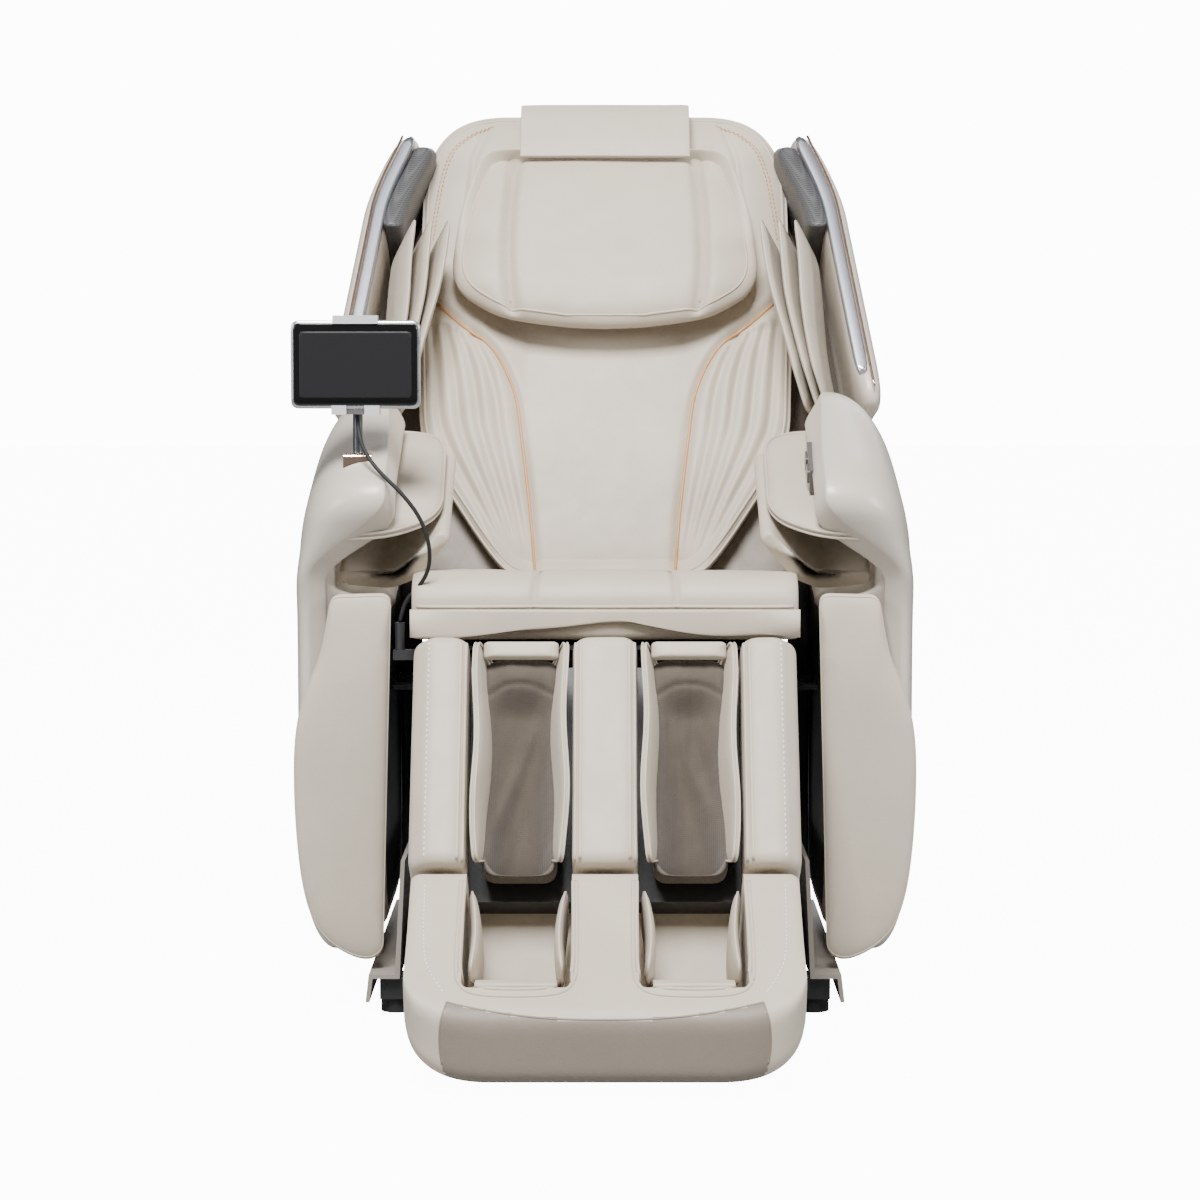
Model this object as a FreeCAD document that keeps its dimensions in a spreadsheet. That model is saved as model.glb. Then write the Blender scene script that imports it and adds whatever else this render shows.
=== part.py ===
"""Reclining massage chair, as a parametric FreeCAD document. Sizes are in millimetres.

The chair faces -Y and stands on the floor at Z = 0, with its middle plane at X = 0.
A base on feet and wheels carries a slide frame. The slide frame carries the seat with its two arms,
and the backrest, the legrest and the tablet post are hinged to the seat.
Three local frames lean with their parts: the back frame and the leg frame have their origins at the hinges,
and the arm frame lies along the slope of the arm pads.
"""

import FreeCAD
import Part
import math
import os

from FreeCAD import Placement, Rotation, Vector

SIZES = {
    "overall_width": 760,
    "arm_inner": 268,
    "seat_half": 234,
    "leg_half": 226,
    "back_hinge_y": 165,
    "back_hinge_z": 430,
    "back_lean": 28,
    "leg_hinge_y": -240,
    "leg_hinge_z": 445,
    "leg_lean": 30,
    "arm_front_y": -195,
    "arm_front_z": 555,
    "arm_slope": 24,
    "tilt_y": 60,
    "tilt_z": 200,
    "post_x": -300,
    "post_y": -192,
    "rail_top": 90,
    "wheel_radius": 35,
    "wheel_y": 300,
    "pin_radius": 8,
    "running_gap": 0.06,
    "calf_length": 300,
    "leg_clear": 15,
    "well_inner": 38,
    "well_outer": 158,
    "back_width_half": 250,
    "back_top": 770,
    "back_rear": 163.4,
    "tablet_width": 156,
    "tablet_height": 106,
    "tablet_thick": 14,
    "cable_diameter": 5,
    "wing_lean": 7,
    "back_push_y": 118,
    "back_push_z": 206,
    "back_push_lean": 35.5,
    "leg_push_y": -17.5,
    "leg_push_z": 245.5,
    "leg_push_lean": 66.1,
}

SIDES = {"left": -1, "right": 1}
CABLE_Y = -204.6
FRAMES = {
    "world": None,
    "back": ("0", "back_hinge_y", "back_hinge_z", "-Sizes.back_lean"),
    "leg": ("0", "leg_hinge_y", "leg_hinge_z", "-Sizes.leg_lean"),
    "arm": ("0", "arm_front_y", "arm_front_z", "Sizes.arm_slope"),
    "back_push": ("0", "back_push_y", "back_push_z", "-Sizes.back_push_lean"),
    "leg_push": ("0", "leg_push_y", "leg_push_z", "Sizes.leg_push_lean"),
}

doc = FreeCAD.newDocument("massage_chair")
sheet = doc.addObject("Spreadsheet::Sheet", "Sizes")
for row, (alias, number) in enumerate(SIZES.items(), start=1):
    sheet.set(f"A{row}", alias.replace("_", " "))
    sheet.set(f"B{row}", str(number))
    sheet.setAlias(f"B{row}", alias)
doc.recompute()

pieces = []


def size(alias):
    """A driving dimension, read from the sheet."""
    return float(sheet.get(alias))


def keep(piece, label, frame="world"):
    """Names a finished sub-part and puts it in its frame."""
    piece.Label = label
    if FRAMES[frame]:
        x, y, z, angle = FRAMES[frame]
        piece.Placement = Placement(Vector(0, 0, 0), Rotation(Vector(1, 0, 0), 10))
        piece.setExpression("Placement.Base.x", x)
        piece.setExpression("Placement.Base.y", f"Sizes.{y}")
        piece.setExpression("Placement.Base.z", f"Sizes.{z}")
        piece.setExpression("Placement.Rotation.Angle", angle)
    pieces.append(piece)
    return piece


def lean_wing(piece, label, side):
    """Names a part of a wing. Wings stand in the back frame and lean inwards about their lower edge."""
    foot = Vector(side * 335, 0, 270)
    inwards = Placement(Vector(0, 0, 0), Rotation(Vector(0, 1, 0), -side * size("wing_lean")), foot)
    leaning = Rotation(Vector(1, 0, 0), -size("back_lean"))
    piece.Label = label
    piece.Placement = Placement(Vector(0, size("back_hinge_y"), size("back_hinge_z")), leaning) * inwards
    pieces.append(piece)
    return piece


# ---------- sketches and features ----------


def outline(points, radius=0, radii=None):
    """Lines and corner arcs of a closed polygon. radii gives single corners their own radius."""
    corners = [Vector(a, b, 0) for a, b in points]
    count = len(corners)
    rounded = []
    for i, corner in enumerate(corners):
        r = (radii or {}).get(i, radius)
        to_last = (corners[i - 1] - corner).normalize()
        to_next = (corners[(i + 1) % count] - corner).normalize()
        if r <= 0:
            rounded.append((corner, None, corner))
            continue
        half = to_last.getAngle(to_next) / 2
        reach = r / math.tan(half)
        middle = (to_last + to_next).normalize()
        centre = corner + middle * (r / math.sin(half))
        rounded.append((corner + to_last * reach, centre - middle * r, corner + to_next * reach))
    curves = []
    for i, (start, middle, end) in enumerate(rounded):
        if middle is not None:
            curves.append(Part.Arc(start, middle, end))
        curves.append(Part.LineSegment(end, rounded[(i + 1) % count][0]))
    return curves


def sketch_on(body, role, curves, offset="0"):
    """A sketch with these curves on one of the body's own planes, moved along its normal by an expression."""
    plane = next(f for f in body.Origin.OriginFeatures if f.Role == role)
    sketch = body.newObject("Sketcher::SketchObject", "Sketch")
    sketch.AttachmentSupport = (plane, "")
    sketch.MapMode = "FlatFace"
    sketch.setExpression("AttachmentOffset.Base.z", offset)
    for curve in curves:
        sketch.addGeometry(curve, False)
    return sketch


def pad(body, role, curves, offset, length):
    """Pads a sketch from offset along the plane's normal. Both are expressions."""
    feature = body.newObject("PartDesign::Pad", "Pad")
    feature.Profile = sketch_on(body, role, curves, offset)
    feature.setExpression("Length", length)
    return feature


def cut(body, role, curves, offset, length):
    """Pockets a sketch from offset along the plane's normal, and checks that it removed something."""
    doc.recompute()
    before = body.Shape.Volume
    feature = body.newObject("PartDesign::Pocket", "Pocket")
    feature.Profile = sketch_on(body, role, curves, offset)
    feature.setExpression("Length", length)
    feature.Reversed = True
    doc.recompute()
    if body.Shape.Volume > before - 1:
        raise ValueError(f"a pocket cut nothing in {body.Name}")
    return feature


def new_body(name="Body"):
    return doc.addObject("PartDesign::Body", name)


def span(side, inner, outer):
    """Offset and length expressions of a pad along X between two distances from the middle plane."""
    length = f"({outer}) - ({inner})"
    return (f"{inner}", length) if side > 0 else (f"-({outer})", length)


def along_x(curves, offset, length):
    """A body padded along X from a side outline in Y and Z."""
    body = new_body()
    pad(body, "YZ_Plane", curves, offset, length)
    return body


def along_y(curves, low, high):
    """A body padded along Y from a front outline in X and Z, between two expressions."""
    body = new_body()
    pad(body, "XZ_Plane", curves, f"-({high})", f"({high}) - ({low})")
    return body


def along_z(curves, low, high):
    """A body padded along Z from a plan outline in X and Y, between two expressions."""
    body = new_body()
    pad(body, "XY_Plane", curves, low, f"({high}) - ({low})")
    return body


def fillet_edges(body, radius, choose):
    """Rounds the edges that choose(edge) picks."""
    doc.recompute()
    names = [f"Edge{i}" for i, edge in enumerate(body.Shape.Edges, start=1) if choose(edge)]
    last = body.Tip
    feature = body.newObject("PartDesign::Fillet", "Fillet")
    feature.Base = (last, names)
    feature.Radius = radius
    doc.recompute()
    if not body.Shape.isValid() or "Invalid" in feature.State:
        raise ValueError(f"a fillet failed in {body.Name}")
    return body


def edges_at(axis, place, tolerance=0.5):
    """Picks the edges that lie in the plane where the axis (0, 1 or 2) has this value."""
    return lambda edge: all(abs(v.Point[axis] - place) < tolerance for v in edge.Vertexes) and (
        abs(edge.CenterOfMass[axis] - place) < tolerance
    )


def mirrored(points, side):
    return [(side * a, b) for a, b in points]


def box(x0, y0, z0, x1, y1, z1):
    """A Part::Box between two corners, whose sizes may be expressions on the sheet."""
    solid = doc.addObject("Part::Box", "Box")
    for prop, low, high in (("Length", x0, x1), ("Width", y0, y1), ("Height", z0, z1)):
        solid.setExpression(prop, f"({high}) - ({low})")
    for prop, low in (("x", x0), ("y", y0), ("z", z0)):
        solid.setExpression(f"Placement.Base.{prop}", str(low))
    return solid


def rod(x0, x1, y, z, radius):
    """A Part::Cylinder along X between two expressions."""
    solid = doc.addObject("Part::Cylinder", "Rod")
    solid.setExpression("Radius", str(radius))
    solid.setExpression("Height", f"({x1}) - ({x0})")
    solid.Placement = Placement(Vector(0, 0, 0), Rotation(Vector(0, 1, 0), 90))
    for prop, value in (("x", x0), ("y", y), ("z", z)):
        solid.setExpression(f"Placement.Base.{prop}", str(value))
    return solid


def column(x, y, z0, z1, radius):
    """A Part::Cylinder along Z between two expressions."""
    solid = doc.addObject("Part::Cylinder", "Column")
    solid.setExpression("Radius", str(radius))
    solid.setExpression("Height", f"({z1}) - ({z0})")
    for prop, value in (("x", x), ("y", y), ("z", z0)):
        solid.setExpression(f"Placement.Base.{prop}", str(value))
    return solid


def fuse(*solids):
    joined = doc.addObject("Part::MultiFuse", "Fuse")
    joined.Shapes = list(solids)
    return joined


def minus(base, *tools):
    """base with every tool cut away."""
    tool = tools[0] if len(tools) == 1 else fuse(*tools)
    result = doc.addObject("Part::Cut", "Cut")
    result.Base = base
    result.Tool = tool
    return result


def group(*solids):
    """Separate solids of one node, such as identical pads."""
    together = doc.addObject("Part::Compound", "Group")
    together.Links = list(solids)
    return together


# ---------- base ----------


def base():
    """Welded frame on two front pads and two rear wheels, with plinth covers, pump, controller and inlet."""
    rails = [box(s * 215 - 15, -215, 44, s * 215 + 15, 320, "Sizes.rail_top") for s in (-1, 1)]
    front_bar = box(-275, -225, 18, 275, -175, 44)
    cross_bars = [box(-230, y, low, 230, y + 30, 86) for y, low in ((-205, 44), (30, 44), (286, 74))]
    ears = [box(s * 189 - 3, 286, 22, s * 189 + 3, 314, 76) for s in (-1, 1)]
    welded = fuse(*rails, front_bar, *cross_bars, *ears)
    bores = [rod(s * 189 - 6, s * 189 + 6, "Sizes.wheel_y", "Sizes.wheel_radius",
                 "6 + Sizes.running_gap") for s in (-1, 1)]
    keep(minus(welded, *bores), "base_frame")

    keep(group(*[column(s * 255, -200, 0, 18, 20) for s in (-1, 1)]), "foot_pads")

    plinth = [(292, 16), (288, 50), (256, 50), (248, 190), (243, 190), (250, 45), (283, 45), (287, 16)]
    plinths = [along_y(outline(mirrored(plinth, s)), "-235", "300") for s in SIDES.values()]
    keep(group(*plinths), "base_plinths")

    axle = rod(-196, 196, "Sizes.wheel_y", "Sizes.wheel_radius", 6)
    tyres = [rod(s * 165 - 13, s * 165 + 13, "Sizes.wheel_y", "Sizes.wheel_radius",
                 "Sizes.wheel_radius") for s in (-1, 1)]
    keep(fuse(axle, *tyres), "transport_wheels")

    controller = along_z(outline([(-140, 120), (140, 120), (140, 280), (-140, 280)], 8), "30", "84")
    keep(controller, "control_box")

    pump_body = box(-110, -150, 30, 60, -40, 84)
    pump_motor = rod(60, 130, -95, 58, 24)
    keep(fuse(pump_body, pump_motor), "air_pump")

    panel = along_z(outline([(60, 320), (150, 320), (150, 332), (60, 332)], 2), "46", "84")
    cut(panel, "XZ_Plane", outline([(68, 54), (98, 54), (98, 76), (68, 76)], 2), "-333", "10")
    cut(panel, "YZ_Plane", [Part.Circle(Vector(330, 65, 0), Vector(0, 0, 1), 11)], "114", "20.2")
    keep(panel, "power_inlet")
    rocker = along_x(outline([(320.5, 62), (333.5, 56.5), (331.5, 65), (335.5, 72.5), (320.5, 69)], 1),
                     "114.4", "19.4")
    rocker_barrel = rod(114.4, 133.8, 330, 65, 5)
    keep(fuse(rocker, rocker_barrel), "power_switch")


def slide_frame():
    """Runners that glide on the base rails, with the uprights of the tilt pivot."""
    runners = [box(s * 215 - 12, -190, "Sizes.rail_top + 0.5", s * 215 + 12, 240, 112) for s in (-1, 1)]
    bars = [box(-205, y, 92, 205, y + 30, 112) for y in (-10, 110)]
    uprights = [along_x(outline([(10, 108), (110, 108), (80, 224), (40, 224)], 0, {2: 18, 3: 18}),
                        *span(s, "203", "209")) for s in (-1, 1)]
    bores = [rod(s * 206 - 8, s * 206 + 8, "Sizes.tilt_y", "Sizes.tilt_z",
                 "Sizes.pin_radius + Sizes.running_gap") for s in (-1, 1)]
    keep(minus(fuse(*runners, *bars, *uprights), *bores), "slide_frame")


# ---------- seat ----------


def seat():
    """Side plates with the pivot pins, pan, cushion, apron, arms and keys."""
    plate = [(-256, 440), (-246, 459), (-215, 446), (130, 446), (160, 452), (182, 440), (170, 405),
             (90, 180), (30, 180), (-60, 330), (-215, 415)]
    plates = [along_x(outline(plate, 0, {0: 6, 4: 8, 5: 8, 7: 16, 8: 16}), *span(s, "214", "220"))
              for s in (-1, 1)]
    tubes = [rod(-216, 216, y, z, 13) for y, z in ((-110, 425), (40, 330), (90, 240))]
    pins = [rod(s * 210.5 - 11.5, s * 210.5 + 11.5, y, z, "Sizes.pin_radius")
            for s in (-1, 1)
            for y, z in (("Sizes.leg_hinge_y", "Sizes.leg_hinge_z"),
                         ("Sizes.back_hinge_y", "Sizes.back_hinge_z"),
                         ("Sizes.tilt_y", "Sizes.tilt_z"))]
    pan = box(-216, -218, 446, 216, 128, 451)
    arm_brackets = [box(s * 243 - 25, y, 380, s * 243 + 25, y + 40, 386) for s in (-1, 1) for y in (-60, 60)]
    leg_lug = along_x(outline([(50, 322), (30, 342), (-28, 250), (-18, 234), (-4, 238)], 2), "17", "6")
    back_lug = along_x(outline([(98, 250), (78, 232), (112, 195), (126, 198), (128, 212)], 2), "-8", "6")
    push_pins = [rod(17, 60, "Sizes.leg_push_y", "Sizes.leg_push_z", 5),
                 rod(-8, 32, "Sizes.back_push_y", "Sizes.back_push_z", 5)]
    keep(fuse(*plates, *tubes, *pins, pan, *arm_brackets, leg_lug, back_lug, *push_pins), "seat_frame")

    profile = [(-224, 454), (-224, 520), (-190, 532), (-130, 532), (-40, 506), (134, 494), (134, 454)]
    cushion = along_x(outline(profile, 0, {0: 10, 1: 18, 2: 30, 3: 60, 4: 60}),
                      "-Sizes.seat_half", "2 * Sizes.seat_half")
    shoulders = [along_y(outline(mirrored([(188, 560), (212, 522), (236, 486), (260, 470), (260, 560)], s)),
                         "-240", "150") for s in SIDES.values()]
    keep(minus(cushion, *shoulders), "seat_cushion")

    apron = along_x(outline([(-234, 466), (-226.5, 466), (-226.5, 500), (-234, 500)], 3),
                    "-Sizes.seat_half", "2 * Sizes.seat_half")
    keep(apron, "seat_apron")


def arms():
    """Each arm: hollow outer shell, front panel, cap, and the two air pads that hold the forearm."""
    side_profile = [(-150, 62), (-187, 130), (-187, 520), (-228, 600), (52, 724), (110, 716), (225, 690),
                    (318, 600), (330, 400), (318, 180), (240, 100)]
    corner_radii = {0: 30, 1: 60, 2: 40, 3: 30, 4: 30, 5: 40, 6: 60, 7: 60, 8: 120, 9: 80, 10: 60}
    rest = [(206, 26), (206, 250), (262, 262), (329, 262), (329, -22), (264, -22)]
    key_recess = [(59.5, 59.5), (140.5, 59.5), (140.5, 90.5), (59.5, 90.5)]
    hollow = [(-140, 110), (-160, 150), (-160, 470), (60, 500), (290, 500), (300, 400), (290, 200),
              (220, 130)]
    mouth = [(-280, 495), (-280, 790), (150, 790), (150, 640), (-175, 495)]
    front = [(272, 66), (310, 62), (352, 120), (372, 260), (374, 400), (366, 508), (272, 508)]
    cap = [(246, 300), (242, 110), (252, 30), (284, -24), (330, -40), (374, -40), (378, 120), (362, 296),
           (330, 322), (286, 322)]
    lower = [(186, 22), (232, -34), (262, -48), (326, -42), (326, -20), (268, -26), (244, -14), (200, 34)]
    for name, s in SIDES.items():
        width = span(s, "Sizes.arm_inner", "Sizes.overall_width / 2")
        shell = along_x(outline(side_profile, 0, corner_radii), *width)
        outer = s * size("overall_width") / 2
        fillet_edges(shell, 24, edges_at(0, outer))
        cut(shell, "YZ_Plane", outline(hollow, 12), *span(s, "Sizes.arm_inner", "352"))
        cut(shell, "YZ_Plane", outline(mouth), *span(s, "Sizes.arm_inner", "331"))
        keep(shell, f"arm_shell_{name}")

        panel = along_y(outline(mirrored(front, s), 0, {1: 30, 2: 60, 5: 8}), "-210", "-188")
        keep(panel, f"arm_front_panel_{name}")

        lid = along_z(outline(mirrored(cap, s), 0, {0: 20, 2: 60, 3: 40, 4: 20, 5: 12, 7: 30, 8: 16, 9: 16}),
                      "56", "96")
        if name == "right":
            cut(lid, "YZ_Plane", outline(key_recess), "230", "32")
        keep(lid, f"arm_cap_{name}", "arm")

        upper = along_z(outline(mirrored(rest, s), 0, {0: 14, 1: 30, 5: 20}), "30", "54")
        keep(upper, f"arm_pad_upper_{name}", "arm")

        tray = along_y(outline(mirrored(lower, s), 0, {1: 8, 2: 14}), "8", "236")
        keep(tray, f"arm_pad_lower_{name}", "arm")


def keys():
    """Key panel on the inner edge of the right cap, with two sprung keys."""
    panel = box(250, 60, 60, 261.5, 140, 90)
    wells = [box(248, y, 66, 258, y + 24, 84) for y in (70, 106)]
    keep(minus(panel, *wells), "key_panel", "arm")
    for name, y in (("power", 70), ("program", 106)):
        face = [(y + 0.5, 66.5), (y + 23.5, 66.5), (y + 23.5, 83.5), (y + 0.5, 83.5)]
        keep(along_x(outline(face, 3), "247.5", "6.5"), f"key_{name}", "arm")


# ---------- tablet ----------


def tablet():
    """Post on the left cap, tilting clamp with a sprung jaw, and the tablet in it."""
    x, y = size("post_x"), size("post_y")
    wedge = along_x(outline([(-212, 652.6), (-172, 670.4), (-175, 684), (-208, 684)], 0, {2: 4, 3: 6}),
                    f"{x - 17}", "34")
    bore = column("Sizes.post_x", "Sizes.post_y", 672, 690, "6 + Sizes.running_gap")
    keep(minus(wedge, bore), "post_foot")

    post = column("Sizes.post_x", "Sizes.post_y", 672.2, 757, 6)
    knuckle = rod(x - 9, x + 9, y, 766, 10)
    keep(minus(fuse(post, knuckle), rod(x - 12, x + 12, y, 766, "4 + Sizes.running_gap")), "tablet_post")

    back_face = y - 16
    cheeks = [box(x + s * 12 - 2.5, y - 18, 758, x + s * 12 + 2.5, y + 5, 774) for s in (-1, 1)]
    plate = box(x - 22, back_face - 6, 742, x + 22, back_face - 1, 838)
    pin = rod(x - 14, x + 14, y, 766, 4)
    low_z = 738
    front = back_face - 7 - size("tablet_thick")
    hooks = []
    for s in (-1, 1):
        hooks.append(box(x + s * 20 - 9, front - 4, low_z - 7, x + s * 20 + 9, back_face - 1, low_z - 1))
        hooks.append(box(x + s * 20 - 9, front - 4, low_z - 7, x + s * 20 + 9, front - 1, low_z + 4))
    foot = box(x - 22, back_face - 6, low_z - 7, x + 22, back_face - 1, 745)
    relief = column("Sizes.post_x", CABLE_Y, 736.6, 752, 4.5)
    slot = box(x - 15, back_face - 10, 790, x + 15, back_face + 2, 842)
    keep(minus(fuse(*cheeks, plate, pin, foot, relief, *hooks), slot), "tablet_clamp")

    top_z = low_z + size("tablet_height")
    tongue = box(x - 14.5, back_face - 6, 792, x + 14.5, back_face - 1, top_z + 6)
    bridge = box(x - 27, front - 4, top_z + 1, x + 27, back_face - 1, top_z + 6)
    lip = box(x - 27, front - 4, top_z - 4, x + 27, front - 1, top_z + 6)
    keep(fuse(tongue, bridge, lip), "clamp_jaw")

    half = size("tablet_width") / 2
    frame = [(x - half, low_z), (x + half, low_z), (x + half, top_z), (x - half, top_z)]
    case = along_y(outline(frame, 9), f"{front}", f"{back_face - 7}")
    inner = half - 3
    glass = [(x - inner, low_z + 3), (x + inner, low_z + 3), (x + inner, top_z - 3), (x - inner, top_z - 3)]
    cut(case, "XZ_Plane", outline(glass, 6), f"{-(front + 1.5)}", "3")
    keep(case, "tablet_case")
    pane = along_y(outline(glass, 6), f"{front}", f"{front + 1.5}")
    keep(pane, "tablet_screen")


def cable():
    """The tablet's lead, from the clamp down in front of the arm pads to a gland beside the seat."""
    route = [(-300, CABLE_Y, 736), (-299, -209, 712), (-290, -229, 686), (-270, -246, 662), (-244, -250, 638),
             (-222, -246, 609), (-211, -238, 576), (-212, -226, 544), (-227, -210, 520), (-245, -198, 503),
             (-250, -196, 478)]
    points = [Vector(*p) for p in route]
    edges = []
    radii = []
    start = points[0]
    for last, corner, following in zip(points, points[1:], points[2:]):
        to_last = last - corner
        to_next = following - corner
        turn = math.pi - to_last.getAngle(to_next)
        reach = 0.45 * min(to_last.Length, to_next.Length)
        radius = reach / math.tan(turn / 2)
        radii.append(round(radius, 1))
        to_last.normalize()
        to_next.normalize()
        middle = (to_last + to_next).normalize()
        centre = corner + middle * math.hypot(radius, reach)
        arc_start = corner + to_last * reach
        arc_end = corner + to_next * reach
        edges.append(Part.LineSegment(start, arc_start).toShape())
        edges.append(Part.Arc(arc_start, centre - middle * radius, arc_end).toShape())
        start = arc_end
    edges.append(Part.LineSegment(start, points[-1]).toShape())
    path = Part.Wire(edges)
    bore = size("cable_diameter") / 2
    ring = Part.Wire(Part.Circle(points[0], points[1] - points[0], bore).toShape())
    tube = path.makePipeShell([ring], True, False)
    print("cable radii", radii, "length", round(path.Length, 1),
          "volume ratio", round(tube.Volume / (math.pi * bore**2 * path.Length), 4))
    lead = doc.addObject("Part::Feature", "Lead")
    lead.Shape = tube
    keep(lead, "tablet_cable")

    sleeve = column(-250, -196, 440, 477.4, 6)
    flange = box(-258, -204, 432, -220.2, -188, 444)
    keep(fuse(sleeve, flange), "cable_gland")


# ---------- backrest ----------


def backrest():
    """Steel frame with roller rails, rear shell, cushion, pillow on its strap, wings and shoulder pads."""
    columns = [box(s * 150 - 12, 36, 20, s * 150 + 12, 60, 720) for s in (-1, 1)]
    bars = [box(-212, 62, z, 212, 82, z + 30) for z in (16, 680)]
    ties = [box(s * 150 - 12, 56, z, s * 150 + 12, 66, z + 30) for s in (-1, 1) for z in (20, 684)]
    ear = [(-16, -14), (16, -14), (82, 16), (82, 46), (40, 46), (-16, 16)]
    ears = [along_x(outline(ear, 0, {0: 10, 1: 10, 5: 10}), *span(s, "203", "209")) for s in (-1, 1)]
    lug = box(-12, 70, 18, -4, 112, 44)
    bores = [rod(s * 206 - 8, s * 206 + 8, 0, 0, "Sizes.pin_radius + Sizes.running_gap") for s in (-1, 1)]
    notch = box(-4, 70, 10, 40, 84, 50)
    keep(minus(fuse(*columns, *bars, *ties, *ears, lug), *bores, notch), "back_frame", "back")

    half, rear = size("back_width_half"), size("back_rear")
    plan = [(-half, 4), (half, 4), (half, 110), (200, rear), (-200, rear), (-half, 110)]
    shell = along_z(outline(plan, 0, {2: 50, 3: 60, 4: 60, 5: 50}), "14", "Sizes.back_top - 24")
    inner = [(-238, 3.5), (238, 3.5), (238, 100), (192, rear - 10), (-192, rear - 10), (-238, 100)]
    cut(shell, "XY_Plane", outline(inner, 0, {2: 40, 3: 50, 4: 50, 5: 40}), "10", "Sizes.back_top - 54")
    wing_mounts = [box(s * 263 - 14, 20, 560, s * 263 + 14, 100, 690) for s in (-1, 1)]
    keep(fuse(shell, *wing_mounts), "back_shell", "back")

    front = [(-118, 58), (118, 58), (150, 100), (246, 290), (248, 700), (200, 762), (-200, 762), (-248, 700),
             (-246, 290), (-150, 100)]
    pad_body = along_y(outline(front, 0, {3: 60, 4: 60, 5: 40, 6: 40, 7: 60, 8: 60}), "-76", "-20")
    liner = [(-246, 30), (246, 30), (248, 700), (200, 762), (-200, 762), (-248, 700)]
    liner_body = along_y(outline(liner, 0, {0: 20, 1: 20, 2: 60, 3: 40, 4: 40, 5: 60}), "-19.5", "3")
    keep(group(pad_body, liner_body), "back_cushion", "back")

    pillow_front = [(-120, 386), (120, 386), (200, 420), (218, 500), (160, 764), (-160, 764), (-218, 500),
                    (-200, 420)]
    pillow_corners = {0: 60, 1: 60, 2: 40, 3: 60, 4: 16, 5: 16, 6: 60, 7: 40}
    pillow_slope = [(-140, 480), (-134, 480), (-103, 768), (-103, 790), (-140, 790)]
    pillow = along_y(outline(pillow_front, 0, pillow_corners), "-134", "-77")
    cut(pillow, "YZ_Plane", outline(pillow_slope), "-230", "460")
    keep(pillow, "pillow", "back")

    strap = along_x(outline([(-100, 766), (116, 766), (116, 774), (-100, 774)], 3), "-118", "236")
    keep(strap, "pillow_strap", "back")


def wings():
    """Side wings with speaker panels and trims, and three hanging shoulder pads in each."""
    ear = [(-186, 276), (-172, 262), (40, 330), (120, 372), (150, 500), (146, 690), (60, 742), (-92, 716),
           (-120, 690)]
    leaf_spans = ((238, 249), (257, 268), (276, 287))
    trims = []
    grilles = []
    strip = [(-194, 284), (-187, 284), (-124, 688), (-131, 688)]
    grille = [(-150, 540), (0, 540), (4, 690), (-84, 706), (-112, 690)]
    for name, s in SIDES.items():
        wing = along_x(outline(ear, 0, {0: 8, 1: 8, 2: 40, 3: 60, 4: 60, 5: 60, 6: 40, 7: 20}),
                       *span(s, "330", "366"))
        fillet_edges(wing, 14, edges_at(0, s * 366))
        lean_wing(wing, f"wing_{name}", s)
        trims.append(along_x(outline(strip), *span(s, "352", "358")))
        grilles.append(along_x(outline(grille, 4), *span(s, "306", "329.5")))
        lean_wing(trims[-1], f"wing_trim_{name}", s)
        lean_wing(grilles[-1], f"speaker_panel_{name}", s)
        pads = []
        for low, high in leaf_spans:
            shape = [(-176, 292), (-150, 264), (-92, 270), (-80, 520), (-160, 526)]
            pads.append(along_x(outline(shape, 0, {0: 14, 1: 20}), *span(s, str(low), str(high))))
        hanger = along_x(outline([(-79, 300), (-40, 300), (-40, 520), (-79, 520)], 6), *span(s, "250", "292"))
        keep(group(*pads, hanger), f"shoulder_pads_{name}", "back")
    for label, parts in (("wing_trims", trims), ("speaker_panels", grilles)):
        for part in parts:
            pieces.remove(part)
        pieces.append(group(*parts))
        pieces[-1].Label = label


def actuator(kind, centre_x, tube_end, rod_from, eye_at, eye_x):
    """A linear actuator: a motor and tube pinned to the seat frame, and a rod whose yoke pushes a lug."""
    tube = column(centre_x, 0, -12, tube_end, 15)
    motor = box(centre_x - 14, 12, -8, centre_x + 14, 44, 62)
    bore = column(centre_x, 0, 14, tube_end + 5, 9.5)
    pin_hole = rod(centre_x - 40, centre_x + 40, 0, 0, "5 + Sizes.running_gap")
    keep(minus(fuse(tube, motor), bore, pin_hole), f"{kind}_actuator", f"{kind}_push")
    piston = column(centre_x, 0, rod_from, eye_at - 8, 9)
    yoke = box(eye_x, -9, eye_at - 10, centre_x, 9, eye_at + 7)
    keep(fuse(piston, yoke), f"{kind}_actuator_rod", f"{kind}_push")


def massage_mechanism():
    """Roller carriage that runs up the back rails, with two pairs of kneading rollers."""
    chassis = box(-110, 62.5, 60, 110, 100, 150)
    guides = [box(s * 126 - 11.5, 40, 66, s * 126 + 11.5, 56, 144) for s in (-1, 1)]
    necks = [box(s * 113 - 8, 50, 90, s * 113 + 8, 70, 120) for s in (-1, 1)]
    arms_out = [box(s * 96 - 4, 24, 96, s * 96 + 4, 70, 114) for s in (-1, 1)]
    bores = [rod(s * 96 - 8, s * 96 + 8, 32, 105, "5 + Sizes.running_gap") for s in (-1, 1)]
    keep(minus(fuse(chassis, *guides, *necks, *arms_out), *bores), "massage_carriage", "back")
    shaft = rod(-103, 103, 32, 105, 5)
    rollers = [rod(s * x - 13, s * x + 13, 32, 105, 25) for s in (-1, 1) for x in (30, 74)]
    keep(fuse(shaft, *rollers), "kneading_rollers", "back")


# ---------- legrest ----------


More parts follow.
